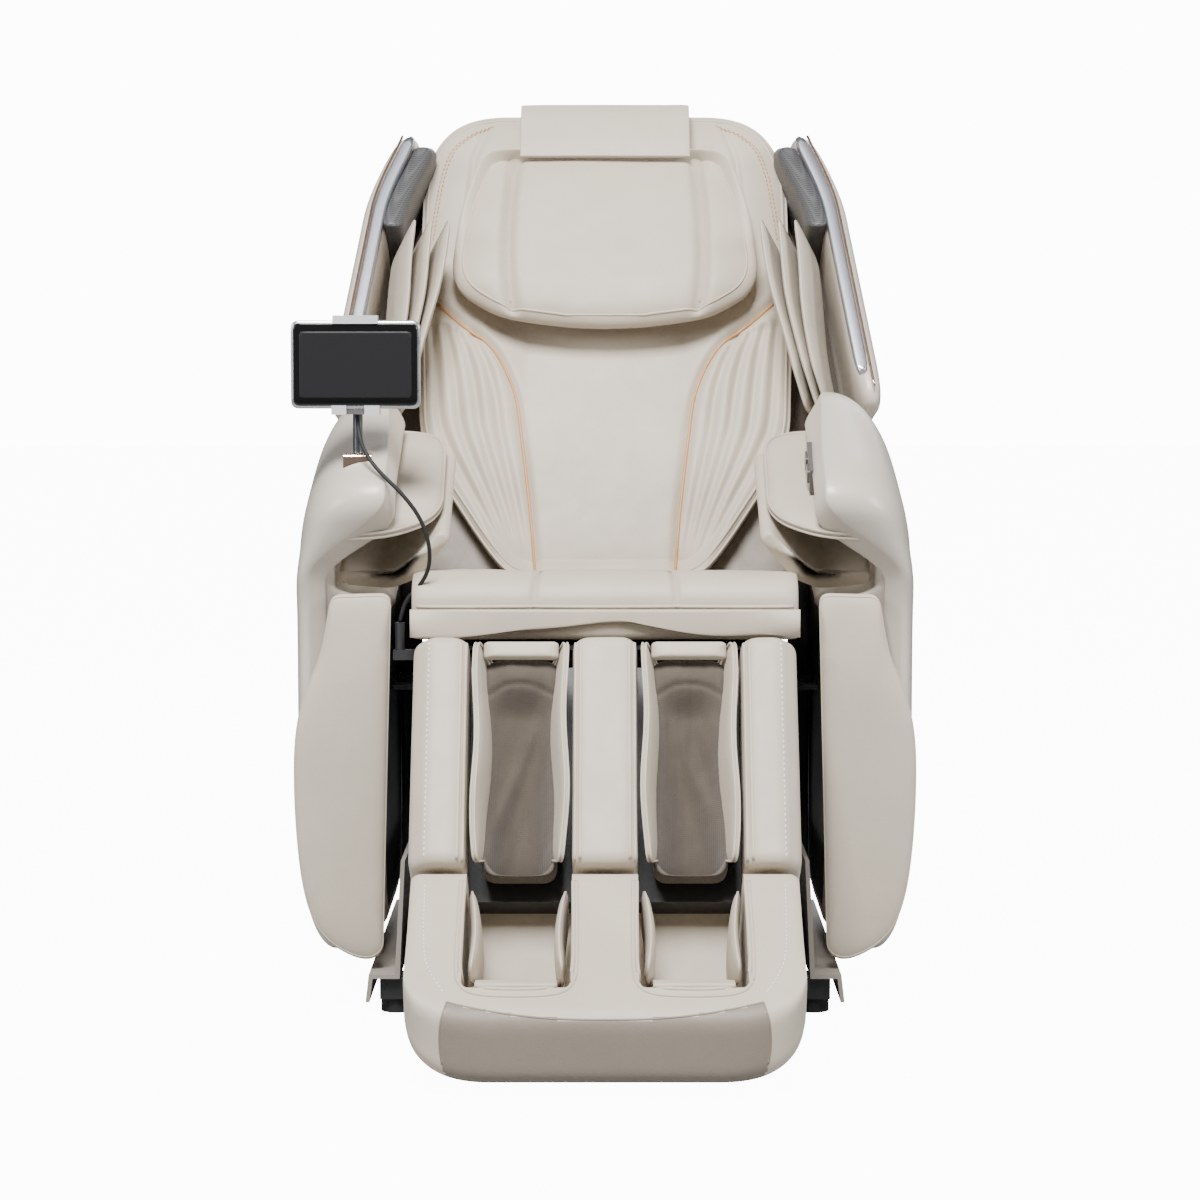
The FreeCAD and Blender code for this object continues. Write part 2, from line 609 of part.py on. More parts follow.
def legrest():
    """Calf tray with two wells between three ribs, each well lined and flanked by air leaves."""
    bottom = -size("leg_clear") - size("calf_length")
    low = "-Sizes.leg_clear - Sizes.calf_length"
    high = "-Sizes.leg_clear"
    tray = box("-Sizes.leg_half", 12, low, "Sizes.leg_half", 58, high)
    ear = [(12, -30), (40, -30), (40, -12), (13, 13), (-12, 13), (-12, -11), (12, -11)]
    ears = [along_x(outline(ear, 0, {3: 8, 4: 8, 5: 4}), *span(s, "203", "209")) for s in (-1, 1)]
    guides = [box(s * 190 - 10, 58, bottom + 10, s * 190 + 10, 74, -40) for s in (-1, 1)]
    lug = box(26, 56, -98, 34, 86, -72)
    yoke_room = box(34.5, 48, -112, 62, 60, -58)
    bores = [rod(s * 206 - 8, s * 206 + 8, 0, 0, "Sizes.pin_radius + Sizes.running_gap") for s in (-1, 1)]
    tracks = [box(s * 190 - 5, 62, bottom - 5, s * 190 + 5, 70, -60) for s in (-1, 1)]
    keep(minus(fuse(tray, *ears, *guides, lug), *bores, *tracks, yoke_room), "calf_tray", "leg")

    outer_rib = [(160, 11), (160, -74), (174, -86), (206, -86), (226, -66), (226, 11)]
    ribs = [along_z(outline(mirrored(outer_rib, s), 0, {2: 8, 3: 10, 4: 10}), low, high)
            for s in SIDES.values()]
    keep(group(*ribs), "calf_side_ribs", "leg")
    centre_rib = [(-38, 11), (-38, -76), (-28, -87), (28, -87), (38, -76), (38, 11)]
    keep(along_z(outline(centre_rib, 0, {1: 6, 2: 6, 3: 6, 4: 6}), low, high), "calf_centre_rib", "leg")

    flaps = [box(x - 6, -80, f"{low} + 6", x + 6, 6, f"{high} - 4") for x in (-151, -47, 47, 151)]
    keep(group(*flaps), "calf_flaps", "leg")
    liners = [box(s * 99 - 44, -24, f"{low} + 8", s * 99 + 44, 11, f"{high} - 20") for s in (-1, 1)]
    keep(group(*liners), "calf_liners", "leg")


def footrest():
    """Foot box on slides, with two wells, air leaves, sole pads and the foot rollers under them."""
    side = [(-83, -321), (-195, -503), (-152, -567), (5, -478), (70, -440), (70, -321)]
    shell = along_x(outline(side, 0, {0: 12, 1: 22, 2: 26, 3: 30, 4: 30, 5: 0}),
                    "-Sizes.leg_half + 4", "2 * Sizes.leg_half - 8")
    well = [(44, -300), (44, -425), (-182, -484), (-260, -480), (-200, -300)]
    bay = [(10, -400), (10, -448), (-60, -496), (-100, -480), (-100, -420)]
    for s in SIDES.values():
        cut(shell, "YZ_Plane", outline(well, 0, {1: 14}), *span(s, "Sizes.well_inner", "Sizes.well_outer"))
    cut(shell, "YZ_Plane", outline(bay, 4), "-150", "300")
    corners = [(-240, -300), (-240, -620), (-150, -620), (-222, -500), (-222, -300)]
    for s in SIDES.values():
        cut(shell, "XZ_Plane", outline(mirrored(corners, -s)), "-80", "300")
    keep(shell, "foot_shell", "leg")

    foot_flap = [(-100, -360), (-160, -456), (-140, -462), (34, -412), (34, -332), (-78, -332)]
    flaps = [along_x(outline(foot_flap, 0, {0: 20, 1: 8}), str(x - 6), "12") for x in (-151, -45, 45, 151)]
    keep(group(*flaps), "foot_flaps", "leg")

    sole = [(38, -412), (38, -423), (-174, -481), (-174, -470)]
    soles = [along_x(outline(sole, 0, {0: 4}), str(s * 98 - 44), "88") for s in (-1, 1)]
    keep(group(*soles), "foot_soles", "leg")

    shaft = rod(-149.5, 149.5, -36, -461, 5)
    rollers = [rod(s * 98 + x - 9, s * 98 + x + 9, -36, -461, 14) for s in (-1, 1) for x in (-26, 0, 26)]
    keep(fuse(shaft, *rollers), "foot_rollers", "leg")

    bars = [box(s * 190 - 4.5, 62.5, -321, s * 190 + 4.5, 69.5, -80) for s in (-1, 1)]
    keep(group(*bars), "foot_slide_bars", "leg")


# ---------- build ----------

base()
slide_frame()
seat()
arms()
keys()
tablet()
cable()
backrest()
wings()
actuator("back", 18, 150, 96, 253, 2)
actuator("leg", 44, 190, 20, 220, 36)
massage_mechanism()
legrest()
footrest()
doc.recompute()

for thing in doc.Objects:
    if "Invalid" in thing.State or "Error" in thing.State:
        raise ValueError(f"{thing.Label} failed: {thing.State}")
os.makedirs("parts", exist_ok=True)
for piece in pieces:
    if piece.Shape.isNull() or not piece.Shape.isValid():
        raise ValueError(f"{piece.Label} has no valid shape")
    piece.Shape.exportStep(f"parts/{piece.Label}.step")
print(len(pieces), "nodes")
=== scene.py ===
"""Looks for a reclining massage chair, laid out as a Blender add-on.

The packed frame gives the mechanism, and every leather, fabric and shell part is built here as a surface
worked out with numpy. Lengths are metres, +Z is up and the chair faces -Y.
"""

import math

import bpy
import numpy as np
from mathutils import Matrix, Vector
from mathutils.bvhtree import BVHTree


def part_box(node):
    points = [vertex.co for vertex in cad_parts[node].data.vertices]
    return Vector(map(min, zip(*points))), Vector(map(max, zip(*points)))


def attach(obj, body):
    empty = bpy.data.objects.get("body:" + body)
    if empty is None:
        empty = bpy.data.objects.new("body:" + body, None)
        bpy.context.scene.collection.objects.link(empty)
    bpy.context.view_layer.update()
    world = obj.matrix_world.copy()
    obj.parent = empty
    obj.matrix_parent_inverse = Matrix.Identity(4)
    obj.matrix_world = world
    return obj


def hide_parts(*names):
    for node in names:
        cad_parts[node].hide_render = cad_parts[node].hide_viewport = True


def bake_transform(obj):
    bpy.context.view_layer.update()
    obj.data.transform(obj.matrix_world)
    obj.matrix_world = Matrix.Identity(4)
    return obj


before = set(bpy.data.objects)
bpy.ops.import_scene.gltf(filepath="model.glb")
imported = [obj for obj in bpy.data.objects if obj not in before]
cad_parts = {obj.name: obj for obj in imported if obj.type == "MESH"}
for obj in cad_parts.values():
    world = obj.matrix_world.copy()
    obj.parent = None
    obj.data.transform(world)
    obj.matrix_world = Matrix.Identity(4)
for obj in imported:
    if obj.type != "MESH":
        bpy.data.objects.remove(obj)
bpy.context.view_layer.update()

bl_info = {
    "name": "Massage Chair Looks",
    "version": (1, 0, 0),
    "blender": (4, 5, 0),
    "location": "3D View > Sidebar > Massage Chair",
    "description": "Builds the leather, shells, trims and cable of a massage chair around its frame",
    "category": "Object",
}

SIDES = {"left": -1.0, "right": 1.0}

# Each leaning part's frame: the y and z of its origin in metres, and its lean in degrees.
BACK_FRAME = (0.165, 0.430, 28)
LEG_FRAME = (-0.240, 0.445, 30)
ARM_FRAME = (-0.195, 0.555, -24)
WING_LEAN = 7
WING_HINGE_X, WING_HINGE_Z = 0.335, 0.270


# ---------- frames of the leaning parts ----------


def leaning(hinge_y, hinge_z, degrees):
    """A function from local x, y, z in metres to the row frame. The local frame leans about X."""
    c, s = math.cos(math.radians(degrees)), math.sin(math.radians(degrees))

    def place(p):
        p = np.asarray(p, float)
        y = hinge_y + c * p[..., 1] + s * p[..., 2]
        z = hinge_z - s * p[..., 1] + c * p[..., 2]
        return np.stack([p[..., 0], y, z], axis=-1)

    return place


def upright(p):
    """The row frame itself."""
    return np.asarray(p, float)


in_back = leaning(*BACK_FRAME)
in_leg = leaning(*LEG_FRAME)
in_arm = leaning(*ARM_FRAME)


def on_side(place, s):
    """A place function drawn for the right side: as it is for s = 1, mirrored for s = -1."""
    return lambda p: place(np.asarray(p) * np.array([s, 1, 1]))


def in_wing(side):
    """The wings lean inwards about their lower edge, inside the back frame."""
    c, s = math.cos(math.radians(WING_LEAN)), math.sin(math.radians(WING_LEAN))

    def place(p):
        p = np.asarray(p, float)
        x, z = p[..., 0] - WING_HINGE_X, p[..., 2] - WING_HINGE_Z
        leaned = np.stack([side * (WING_HINGE_X + c * x - s * z), p[..., 1], WING_HINGE_Z + s * x + c * z],
                          axis=-1)
        return in_back(leaned)

    return place


# ---------- surfaces ----------


def distances(line):
    """How far along a line each of its points is."""
    return np.concatenate([[0], np.cumsum(np.linalg.norm(np.diff(line, axis=0), axis=1))])


def at_distances(line, run, at):
    """The points of a line at these distances along it."""
    return np.stack([np.interp(at, run, line[:, k]) for k in range(line.shape[1])], axis=-1)


def evenly(line, count, closed):
    """count points spaced evenly along a dense line."""
    run = distances(line)
    return at_distances(line, run, np.linspace(0, run[-1], count, endpoint=not closed))


def facing(axis, depth, u, v):
    """Points whose depth is on one axis, and whose u and v are on the other two."""
    order = [u, v]
    order.insert(axis, depth)
    return np.stack(order, axis=-1)


def soft_step(value, low, high):
    """0 below low, 1 above high, and smooth between."""
    t = np.clip((value - low) / (high - low), 0, 1)
    return t * t * (3 - 2 * t)


def bell(value, width):
    """1 at zero, falling to 0 on both sides over about this width."""
    return np.exp(-(value / width)**2)


def smooth_line(points, count, closed=False):
    """count points spaced evenly along a Catmull-Rom curve through the given ones."""
    p = np.asarray(points, float)
    n = len(p)
    pads = (p[-1:], p[:2]) if closed else (2 * p[:1] - p[1:2], 2 * p[-1:] - p[-2:-1])
    q = np.concatenate([pads[0], p, pads[1]])
    spans = n if closed else n - 1
    t = np.linspace(0, 1, 24, endpoint=False)[None, :, None]
    a, b, c, d = (q[i:i + spans, None, :] for i in range(4))
    dense = 0.5 * (2 * b + (c - a) * t + (2 * a - 5 * b + 4 * c - d) * t**2 + (3 * b - a - 3 * c + d) * t**3)
    dense = dense.reshape(-1, p.shape[1])
    return evenly(np.concatenate([dense, p[:1] if closed else p[-1:]]), count, closed)


def rounded_outline(points, radius, count):
    """A closed polygon with its corners cut to arcs: each corner becomes a quadratic curve of that reach."""
    p = np.asarray(points, float)
    reach = np.broadcast_to(np.asarray(radius, float), (len(p),))[:, None]
    back, ahead = np.roll(p, 1, 0) - p, np.roll(p, -1, 0) - p
    lb, la = np.linalg.norm(back, axis=1)[:, None], np.linalg.norm(ahead, axis=1)[:, None]
    start, end = p + back / lb * np.minimum(reach, 0.49 * lb), p + ahead / la * np.minimum(reach, 0.49 * la)
    t = np.linspace(0, 1, 9)[None, :, None]
    arcs = (1 - t)**2 * start[:, None] + 2 * t * (1 - t) * p[:, None] + t**2 * end[:, None]
    dense = arcs.reshape(-1, 2)
    return evenly(np.concatenate([dense, dense[:1]]), count, True)


def near_line(u, v, line, width):
    """1 on a line in the u, v plane, falling to 0 beside it as a bell of that width."""
    line = np.asarray(line, float)
    shape = np.shape(u)
    q = np.stack([np.ravel(u), np.ravel(v)], axis=1)
    best = np.full(len(q), 1e9)
    a, b = line[:-1], line[1:]
    d = b - a
    length2 = np.maximum((d**2).sum(1), 1e-12)
    for k in range(0, len(a), 16):
        rel = q[:, None, :] - a[None, k:k + 16]
        t = np.clip((rel * d[None, k:k + 16]).sum(2) / length2[None, k:k + 16], 0, 1)
        gap = ((rel - t[..., None] * d[None, k:k + 16])**2).sum(2).min(1)
        best = np.minimum(best, gap)
    return np.exp(-best / width**2).reshape(shape)


def waves(p, size, seed, octaves=3):
    """Smooth seeded noise between about -1 and 1: a sum of sines in random directions."""
    rng = np.random.default_rng(seed)
    total = np.zeros(p.shape[:-1])
    for octave in range(octaves):
        for _ in range(5):
            direction = rng.normal(size=3)
            direction *= 2 * math.pi * 2**octave / size / np.linalg.norm(direction)
            total += np.sin(p @ direction + rng.uniform(0, 6.28)) / 2**octave / 3
    return total / 2


def face_waves(u, v, size, seed):
    """The noise over a face whose points are at u, v."""
    return waves(facing(1, 0 * u, u, v), size, seed)


def mesh_from_rings(name, rings, cap_start=True, cap_end=True):
    """A closed skin over rings of points (ring, point, xyz), with a pole at each end that is capped."""
    rings = np.asarray(rings, float)
    m, n, _ = rings.shape
    points = [rings.reshape(-1, 3)]
    i, j = np.meshgrid(np.arange(m - 1), np.arange(n), indexing="ij")
    a, b = i * n + j, i * n + (j + 1) % n
    faces = np.stack([a, b, b + n, a + n], axis=-1).reshape(-1, 4).tolist()
    around = np.arange(n)
    for wanted, row, flip in ((cap_start, 0, True), (cap_end, m - 1, False)):
        if wanted:
            pole = m * n + len(points) - 1
            points.append(rings[row].mean(0)[None])
            one, two = row * n + around, row * n + (around + 1) % n
            fan = np.stack([two, one, np.full(n, pole)] if flip else [one, two, np.full(n, pole)], axis=-1)
            faces += fan.tolist()
    return finish_mesh(name, np.concatenate(points), faces)


def link(thing):
    """Puts an object in the scene."""
    bpy.context.scene.collection.objects.link(thing)


def finish_mesh(name, points, faces):
    """A smooth-shaded object whose faces point outwards."""
    mesh = bpy.data.meshes.new(name)
    mesh.from_pydata(np.asarray(points, float).tolist(), [], faces)
    mesh.validate()
    tri = np.empty(len(mesh.loops), np.int32)
    mesh.loops.foreach_get("vertex_index", tri)
    mesh.update()
    co = np.asarray(points, float)
    starts = np.array([p.loop_start for p in mesh.polygons])
    totals = np.array([p.loop_total for p in mesh.polygons])
    a, b, c = co[tri[starts]], co[tri[starts + 1]], co[tri[starts + 2]]
    volume = (np.cross(a, b) * c).sum(1).sum()
    quads = totals == 4
    d = co[tri[starts[quads] + 3]]
    volume += (np.cross(a[quads], c[quads]) * d).sum(1).sum()
    if volume < 0:
        mesh.flip_normals()
    mesh.polygons.foreach_set("use_smooth", np.ones(len(mesh.polygons), bool))
    thing = bpy.data.objects.new(name, mesh)
    link(thing)
    return thing


def pad(name, outline, place, front, rear, crown=0.3, edge=0.5, rings=26, shape=None, axis=1, centre=None):
    """A stuffed pad. Rays run from the centre to the outline. At share r of a ray, a face stands off its rim
    by its crown times (1 - r^4) plus the rest times (1 - r^12) to the power edge, so it swells inside and
    turns in at the seam. shape(u, v) adds to the front's depth for seams and folds. axis is the local axis
    that the pad faces along, and front and rear are where its two faces are on it."""
    outline = np.asarray(outline, float)
    middle = outline.mean(0) if centre is None else np.asarray(centre, float)
    share = np.sin(np.linspace(0, math.pi / 2, rings + 1))[1:]
    spread = outline[None] - middle
    u = middle[0] + share[:, None] * spread[..., 0]
    v = middle[1] + share[:, None] * spread[..., 1]
    swell = crown * (1 - share**4) + (1 - crown) * np.maximum(1 - share**12, 0)**edge
    rim = 0.5 * (front + rear)
    lift = shape(u, v) if shape else 0.0
    fall = np.minimum(1, (1 - share) * 14)[:, None]
    top = rim + (front - rim) * swell[:, None] + lift * fall + 0 * u
    low = rim + (rear - rim) * swell[:, None] + 0 * u
    u2, v2 = np.concatenate([u, u[::-1][1:]]), np.concatenate([v, v[::-1][1:]])
    depth = np.concatenate([top, low[::-1][1:]])
    return mesh_from_rings(name, place(facing(axis, depth, u2, v2)))


END_POWER = 2.4


def bar(name, profile, place, start, end, rounding, steps=40, axis=2, shape=None):
    """A bar with rounded ends. The closed profile is carried along one axis, and within the rounding of each
    end it closes in as a superellipse. shape(points, along) moves the finished points."""
    profile = np.asarray(profile, float)
    middle = profile.mean(0)
    half = np.abs(profile - middle).max()
    theta = np.linspace(0.12, 1, 9)
    close = (1 - (1 - theta)**END_POWER)**(1 / END_POWER)
    head = start + rounding * theta
    body = np.linspace(start + rounding, end - rounding, steps)[1:-1]
    along = np.concatenate([head, body, (end + start - head)[::-1]])
    scale = np.concatenate([close, np.ones(len(body)), close[::-1]])
    inward = np.minimum(rounding, 0.9 * half) * (1 - scale)
    size = (half - inward) / half
    ring = middle + (profile - middle)[None] * size[:, None, None]
    held = np.broadcast_to(along[:, None], ring.shape[:2])
    points = facing(axis, held, ring[..., 0], ring[..., 1])
    if shape:
        points = shape(points)
    return mesh_from_rings(name, place(points))


def square_to(ahead):
    """Two unit vectors square to each direction, and to each other."""
    ahead = ahead / np.linalg.norm(ahead, axis=1)[:, None]
    one = np.cross(ahead, [0.31, 0.83, 0.46])
    one /= np.linalg.norm(one, axis=1)[:, None]
    return one, np.cross(ahead, one)


def tube(name, line, radius, closed=False, sides=8):
    """A round cord of leather or metal along a line of points, with rings square to it."""
    line = np.asarray(line, float)
    ahead = np.roll(line, -1, 0) - np.roll(line, 1, 0)
    if not closed:
        ahead[0], ahead[-1] = line[1] - line[0], line[-1] - line[-2]
    one, two = square_to(ahead)
    turn = np.linspace(0, 2 * math.pi, sides, endpoint=False)[None, :, None]
    rings = line[:, None] + radius * (np.cos(turn) * one[:, None] + np.sin(turn) * two[:, None])
    if closed:
        rings = np.concatenate([rings, rings[:1]])
    return mesh_from_rings(name, rings, not closed, not closed)


STITCH_GAP, STITCH_LIFT, THREAD_RADIUS = 0.0025, 0.0003, 0.0009


def stitches(name, line, length):
    """Thread showing as dashes along a line: each dash is a small six-sided spindle, all in one mesh."""
    line = np.asarray(line, float)
    run = distances(line)
    starts = np.arange(0.002, run[-1] - length, length + STITCH_GAP)
    share = np.array([0.0, 0.15, 0.85, 1.0])
    mid = at_distances(line, run, starts[:, None] + share[None] * length)
    one, two = square_to(mid[:, -1] - mid[:, 0])
    turn = np.linspace(0, 2 * math.pi, 6, endpoint=False)
    thick = THREAD_RADIUS * np.array([0.25, 1, 1, 0.25])
    ring = np.cos(turn)[None, :, None] * one[:, None] + np.sin(turn)[None, :, None] * two[:, None]
    points = mid[:, :, None] + thick[None, :, None, None] * ring[:, None]
    count = len(starts)
    i, j = np.meshgrid(np.arange(3), np.arange(6), indexing="ij")
    a, b = (i * 6 + j).ravel(), (i * 6 + (j + 1) % 6).ravel()
    local = np.stack([a, a + 6, b + 6, b], axis=-1)
    quads = (local[None] + 24 * np.arange(count)[:, None, None]).reshape(-1, 4).tolist()
    first = (np.arange(6)[None] + 24 * np.arange(count)[:, None]).tolist()
    last = (np.arange(23, 17, -1)[None] + 24 * np.arange(count)[:, None]).tolist()
    return finish_mesh(name, points.reshape(-1, 3), quads + first + last)


def dress(thing, material, body, slot, *replaced):
    """Gives a piece its material, its body, its slot in the record and the CAD nodes that it stands for."""
    thing.data.materials.clear()
    thing.data.materials.append(material)
    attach(thing, body)
    if replaced:
        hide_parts(*replaced)
    return thing


def stuff(thing, key, body, fill, *replaced, slot="seat_leather"):
    """Dresses a soft piece in a finish from the palette, and says how full it is."""
    dress(thing, material(key), body, slot, *replaced)


# ---------- materials ----------


def node_material(name, colour, roughness=0.5, metallic=0.0, specular=0.5, sheen=0.0, coat=0.0,
                  coat_roughness=0.1):
    """A Principled material with its constants on the shader's own sockets."""
    material = bpy.data.materials.new(name)
    material.use_nodes = True
    shader = material.node_tree.nodes["Principled BSDF"]
    values = {"Base Color": (*colour, 1), "Roughness": roughness, "Metallic": metallic,
              "Specular IOR Level": specular, "Sheen Weight": sheen, "Coat Weight": coat,
              "Coat Roughness": coat_roughness}
    for socket, value in values.items():
        shader.inputs[socket].default_value = value
    return material, material.node_tree, shader


def add(tree, kind, **inputs):
    """A node of this kind with some of its inputs set."""
    node = tree.nodes.new(kind)
    for key, value in inputs.items():
        node.inputs[key.replace("_", " ")].default_value = value
    return node


def surface(name, colour, roughness, **values):
    """A material, its node tree, its shader and the object's own coordinates."""
    material, tree, shader = node_material(name, colour, roughness, **values)
    return material, tree, shader, tree.nodes.new("ShaderNodeTexCoord").outputs["Object"]


def texture(tree, where, kind, **inputs):
    """A texture of this kind, read at these coordinates."""
    node = add(tree, kind, **inputs)
    tree.links.new(where, node.inputs["Vector"])
    return node


def scaled(tree, where, scale):
    """The coordinates multiplied by a scale for each axis."""
    mapping = tree.nodes.new("ShaderNodeMapping")
    mapping.inputs["Scale"].default_value = scale
    tree.links.new(where, mapping.inputs["Vector"])
    return mapping.outputs["Vector"]


def vary_roughness(tree, shader, value, low, high, **limits):
    """Roughness that goes from low to high with a texture's value."""
    rough = add(tree, "ShaderNodeMapRange", To_Min=low, To_Max=high, **limits)
    tree.links.new(value, rough.inputs["Value"])
    tree.links.new(rough.outputs["Result"], shader.inputs["Roughness"])


def colour_ramp(tree, shader, value, stops):
    """A base colour that goes from one stop to the other with a texture's value."""
    ramp = tree.nodes.new("ShaderNodeValToRGB")
    for element, (place, colour) in zip(ramp.color_ramp.elements, stops):
        element.position = place
        element.color = (*colour, 1)
    tree.links.new(value, ramp.inputs["Fac"])
    tree.links.new(ramp.outputs["Color"], shader.inputs["Base Color"])


def mottle(tree, shader, colour, amount, scale, coordinates):
    """Cloudy variation of the base colour, as dye takes unevenly."""
    noise = texture(tree, coordinates, "ShaderNodeTexNoise", Scale=scale, Detail=5.0, Roughness=0.6)
    stops = [(place, [min(1.0, c * factor) for c in colour])
             for place, factor in ((0.3, 1 - amount), (0.7, 1 + amount))]
    colour_ramp(tree, shader, noise.outputs["Fac"], stops)


def bumps(tree, shader, layers):
    """Chains bump nodes: each layer is a height socket, a strength and a depth in metres."""
    last = None
    for height, strength, depth in layers:
        bump = add(tree, "ShaderNodeBump", Strength=strength, Distance=depth)
        tree.links.new(height, bump.inputs["Height"])
        if last:
            tree.links.new(last, bump.inputs["Normal"])
        last = bump.outputs["Normal"]
    tree.links.new(last, shader.inputs["Normal"])


def leather(name, colour, roughness=0.5, grain=0.5, creases=0.35):
    """Grained leather: small cells for the grain, and broad soft creases."""
    material, tree, shader, where = surface(name, colour, roughness, specular=0.42, sheen=0.06)
    mottle(tree, shader, colour, 0.045, 9.0, where)
    cells = texture(tree, where, "ShaderNodeTexVoronoi", Scale=620.0)
    cells.feature = "DISTANCE_TO_EDGE"
    fine = texture(tree, where, "ShaderNodeTexNoise", Scale=1500.0, Detail=3.0)
    folds = texture(tree, where, "ShaderNodeTexNoise", Scale=26.0, Detail=6.0, Roughness=0.62, Distortion=0.7)
    vary_roughness(tree, shader, folds.outputs["Fac"], roughness - 0.06, roughness + 0.07, From_Min=0.3,
                   From_Max=0.7)
    bumps(tree, shader, [(cells.outputs["Distance"], grain, 0.0004), (fine.outputs["Fac"], 0.25, 0.0002),
                         (folds.outputs["Fac"], creases, 0.0016)])
    return material


THREADS_PER_METRE = 900.0


def woven(name, colour):
    """Stretch fabric with a fine crossing weave."""
    material, tree, shader, where = surface(name, colour, 0.85, specular=0.2, sheen=0.25)
    mottle(tree, shader, colour, 0.09, 14.0, where)
    heights = []
    for axis in ("X", "Z"):
        bands = texture(tree, where, "ShaderNodeTexWave", Scale=THREADS_PER_METRE / 6.28)
        bands.bands_direction = axis
        heights.append((bands.outputs["Fac"], 0.35, 0.0004))
    folds = texture(tree, where, "ShaderNodeTexNoise", Scale=30.0, Detail=4.0, Distortion=0.9)
    bumps(tree, shader, [*heights, (folds.outputs["Fac"], 0.4, 0.003)])
    return material


def painted(name, colour, roughness=0.32, speckle=0.0, coat=0.25):
    """Sprayed plastic or powder-coated steel with a faint orange-peel surface."""
    material, tree, shader, where = surface(name, colour, roughness, coat=coat, coat_roughness=0.2)
    mottle(tree, shader, colour, 0.02, 5.0, where)
    peel = texture(tree, where, "ShaderNodeTexNoise", Scale=420.0, Detail=2.0)
    vary_roughness(tree, shader, peel.outputs["Fac"], roughness - 0.05, roughness + 0.05)
    bumps(tree, shader, [(peel.outputs["Fac"], 0.06 + speckle, 0.0003)])
    return material


def metal(name, colour, roughness=0.22, brushed=0.0):
    """Metal with a slight change of polish, and lines along its length where it is brushed."""
    material, tree, shader, where = surface(name, colour, roughness, metallic=1.0)
    stretched = scaled(tree, where, (900, 900, 30) if brushed else (60, 60, 60))
    lines = texture(tree, stretched, "ShaderNodeTexNoise", Scale=1.0, Detail=3.0)
    vary_roughness(tree, shader, lines.outputs["Fac"], roughness * 0.75, roughness * 1.3)
    bumps(tree, shader, [(lines.outputs["Fac"], 0.04 + brushed, 0.0002)])
    return material


def perforated(name, colour, spacing):
    """Grey plastic pierced by a grid of small dark holes."""
    material, tree, shader, where = surface(name, colour, 0.45, specular=0.4)
    grid = scaled(tree, where, (0.0, 1 / spacing, 1 / spacing))
    cells = texture(tree, grid, "ShaderNodeTexVoronoi", Scale=1.0, Randomness=0.0)
    colour_ramp(tree, shader, cells.outputs["Distance"], ((0.26, (0.02, 0.02, 0.022)), (0.33, colour)))
    bumps(tree, shader, [(cells.outputs["Distance"], 0.25, 0.001)])
    return material


MATERIALS = {}


def material(key):
    """A finish from the palette, made once."""
    if key not in MATERIALS:
        MATERIALS[key] = PALETTE[key]()
    return MATERIALS[key]


# ---------- settings that a user would change ----------


def colour_property(label, description, default):
    """A linear colour with its picker."""
    return bpy.props.FloatVectorProperty(name=label, description=description, default=default, size=3, min=0,
                                         max=1, subtype="COLOR")


def length_property(label, description, default):
    """A length in metres."""
    return bpy.props.FloatProperty(name=label, description=description, default=default, min=0, unit="LENGTH")


class ChairColours(bpy.types.PropertyGroup):
    """Colours of the chair's finishes."""

    leather: colour_property("Leather", "Seat, back, pads and ribs", (0.50, 0.438, 0.352))
    # Painted shade: a darker copy of the leather for the foot box's lower face and seams, and for the back
    # liner.
    deep_leather: colour_property("Deep leather", "Lower face of the foot box", (0.21, 0.175, 0.140))
    shell: colour_property("Shell", "Arm housings, wings and rear cover", (0.52, 0.470, 0.405))
    # Partly the base's own darker beige, partly painted shade: the base's colour as it shows in shade under
    # the chair.
    plinth: colour_property("Plinth", "Covers of the base", (0.27, 0.240, 0.205))
    # Partly the fabric's own dark brown, partly painted shade: darkened for the shadow deep in the wells and
    # beside the cushion.
    lining: colour_property("Lining", "Stretch fabric inside the wells", (0.090, 0.073, 0.058))
    gold: colour_property("Piping", "Gold piping and stitching", (0.50, 0.245, 0.085))
    thread: colour_property("Thread", "Pale stitching", (0.78, 0.75, 0.70))
    rose_gold: colour_property("Rose gold", "Trim lines and post foot", (0.83, 0.58, 0.44))
    strip: colour_property("Strip", "Silver strips beside the trims", (0.62, 0.64, 0.70))
    speaker: colour_property("Speaker", "Perforated speaker panels", (0.085, 0.084, 0.086))


class ChairSizes(bpy.types.PropertyGroup):
    """Sizes of the chair's sewing."""

    welt: length_property("Welt", "Radius of the sewn welts", 0.0021)
    piping: length_property("Piping", "Radius of the gold piping", 0.0021)
    stitch: length_property("Stitch", "Length of one stitch", 0.0045)
    pleat: length_property("Pleat depth", "Depth of the pleats in the side bolsters", 0.0075)
    seam: length_property("Seam depth", "Depth of the sewn seams", 0.006)
    cable: length_property("Cable", "Diameter of the tablet's cable", 0.005)


def colours(name):
    """A colour from the panel, as a plain tuple."""
    return tuple(getattr(bpy.context.scene.chair_colours, name))


def sizes(name):
    """A size from the panel."""
    return getattr(bpy.context.scene.chair_sizes, name)


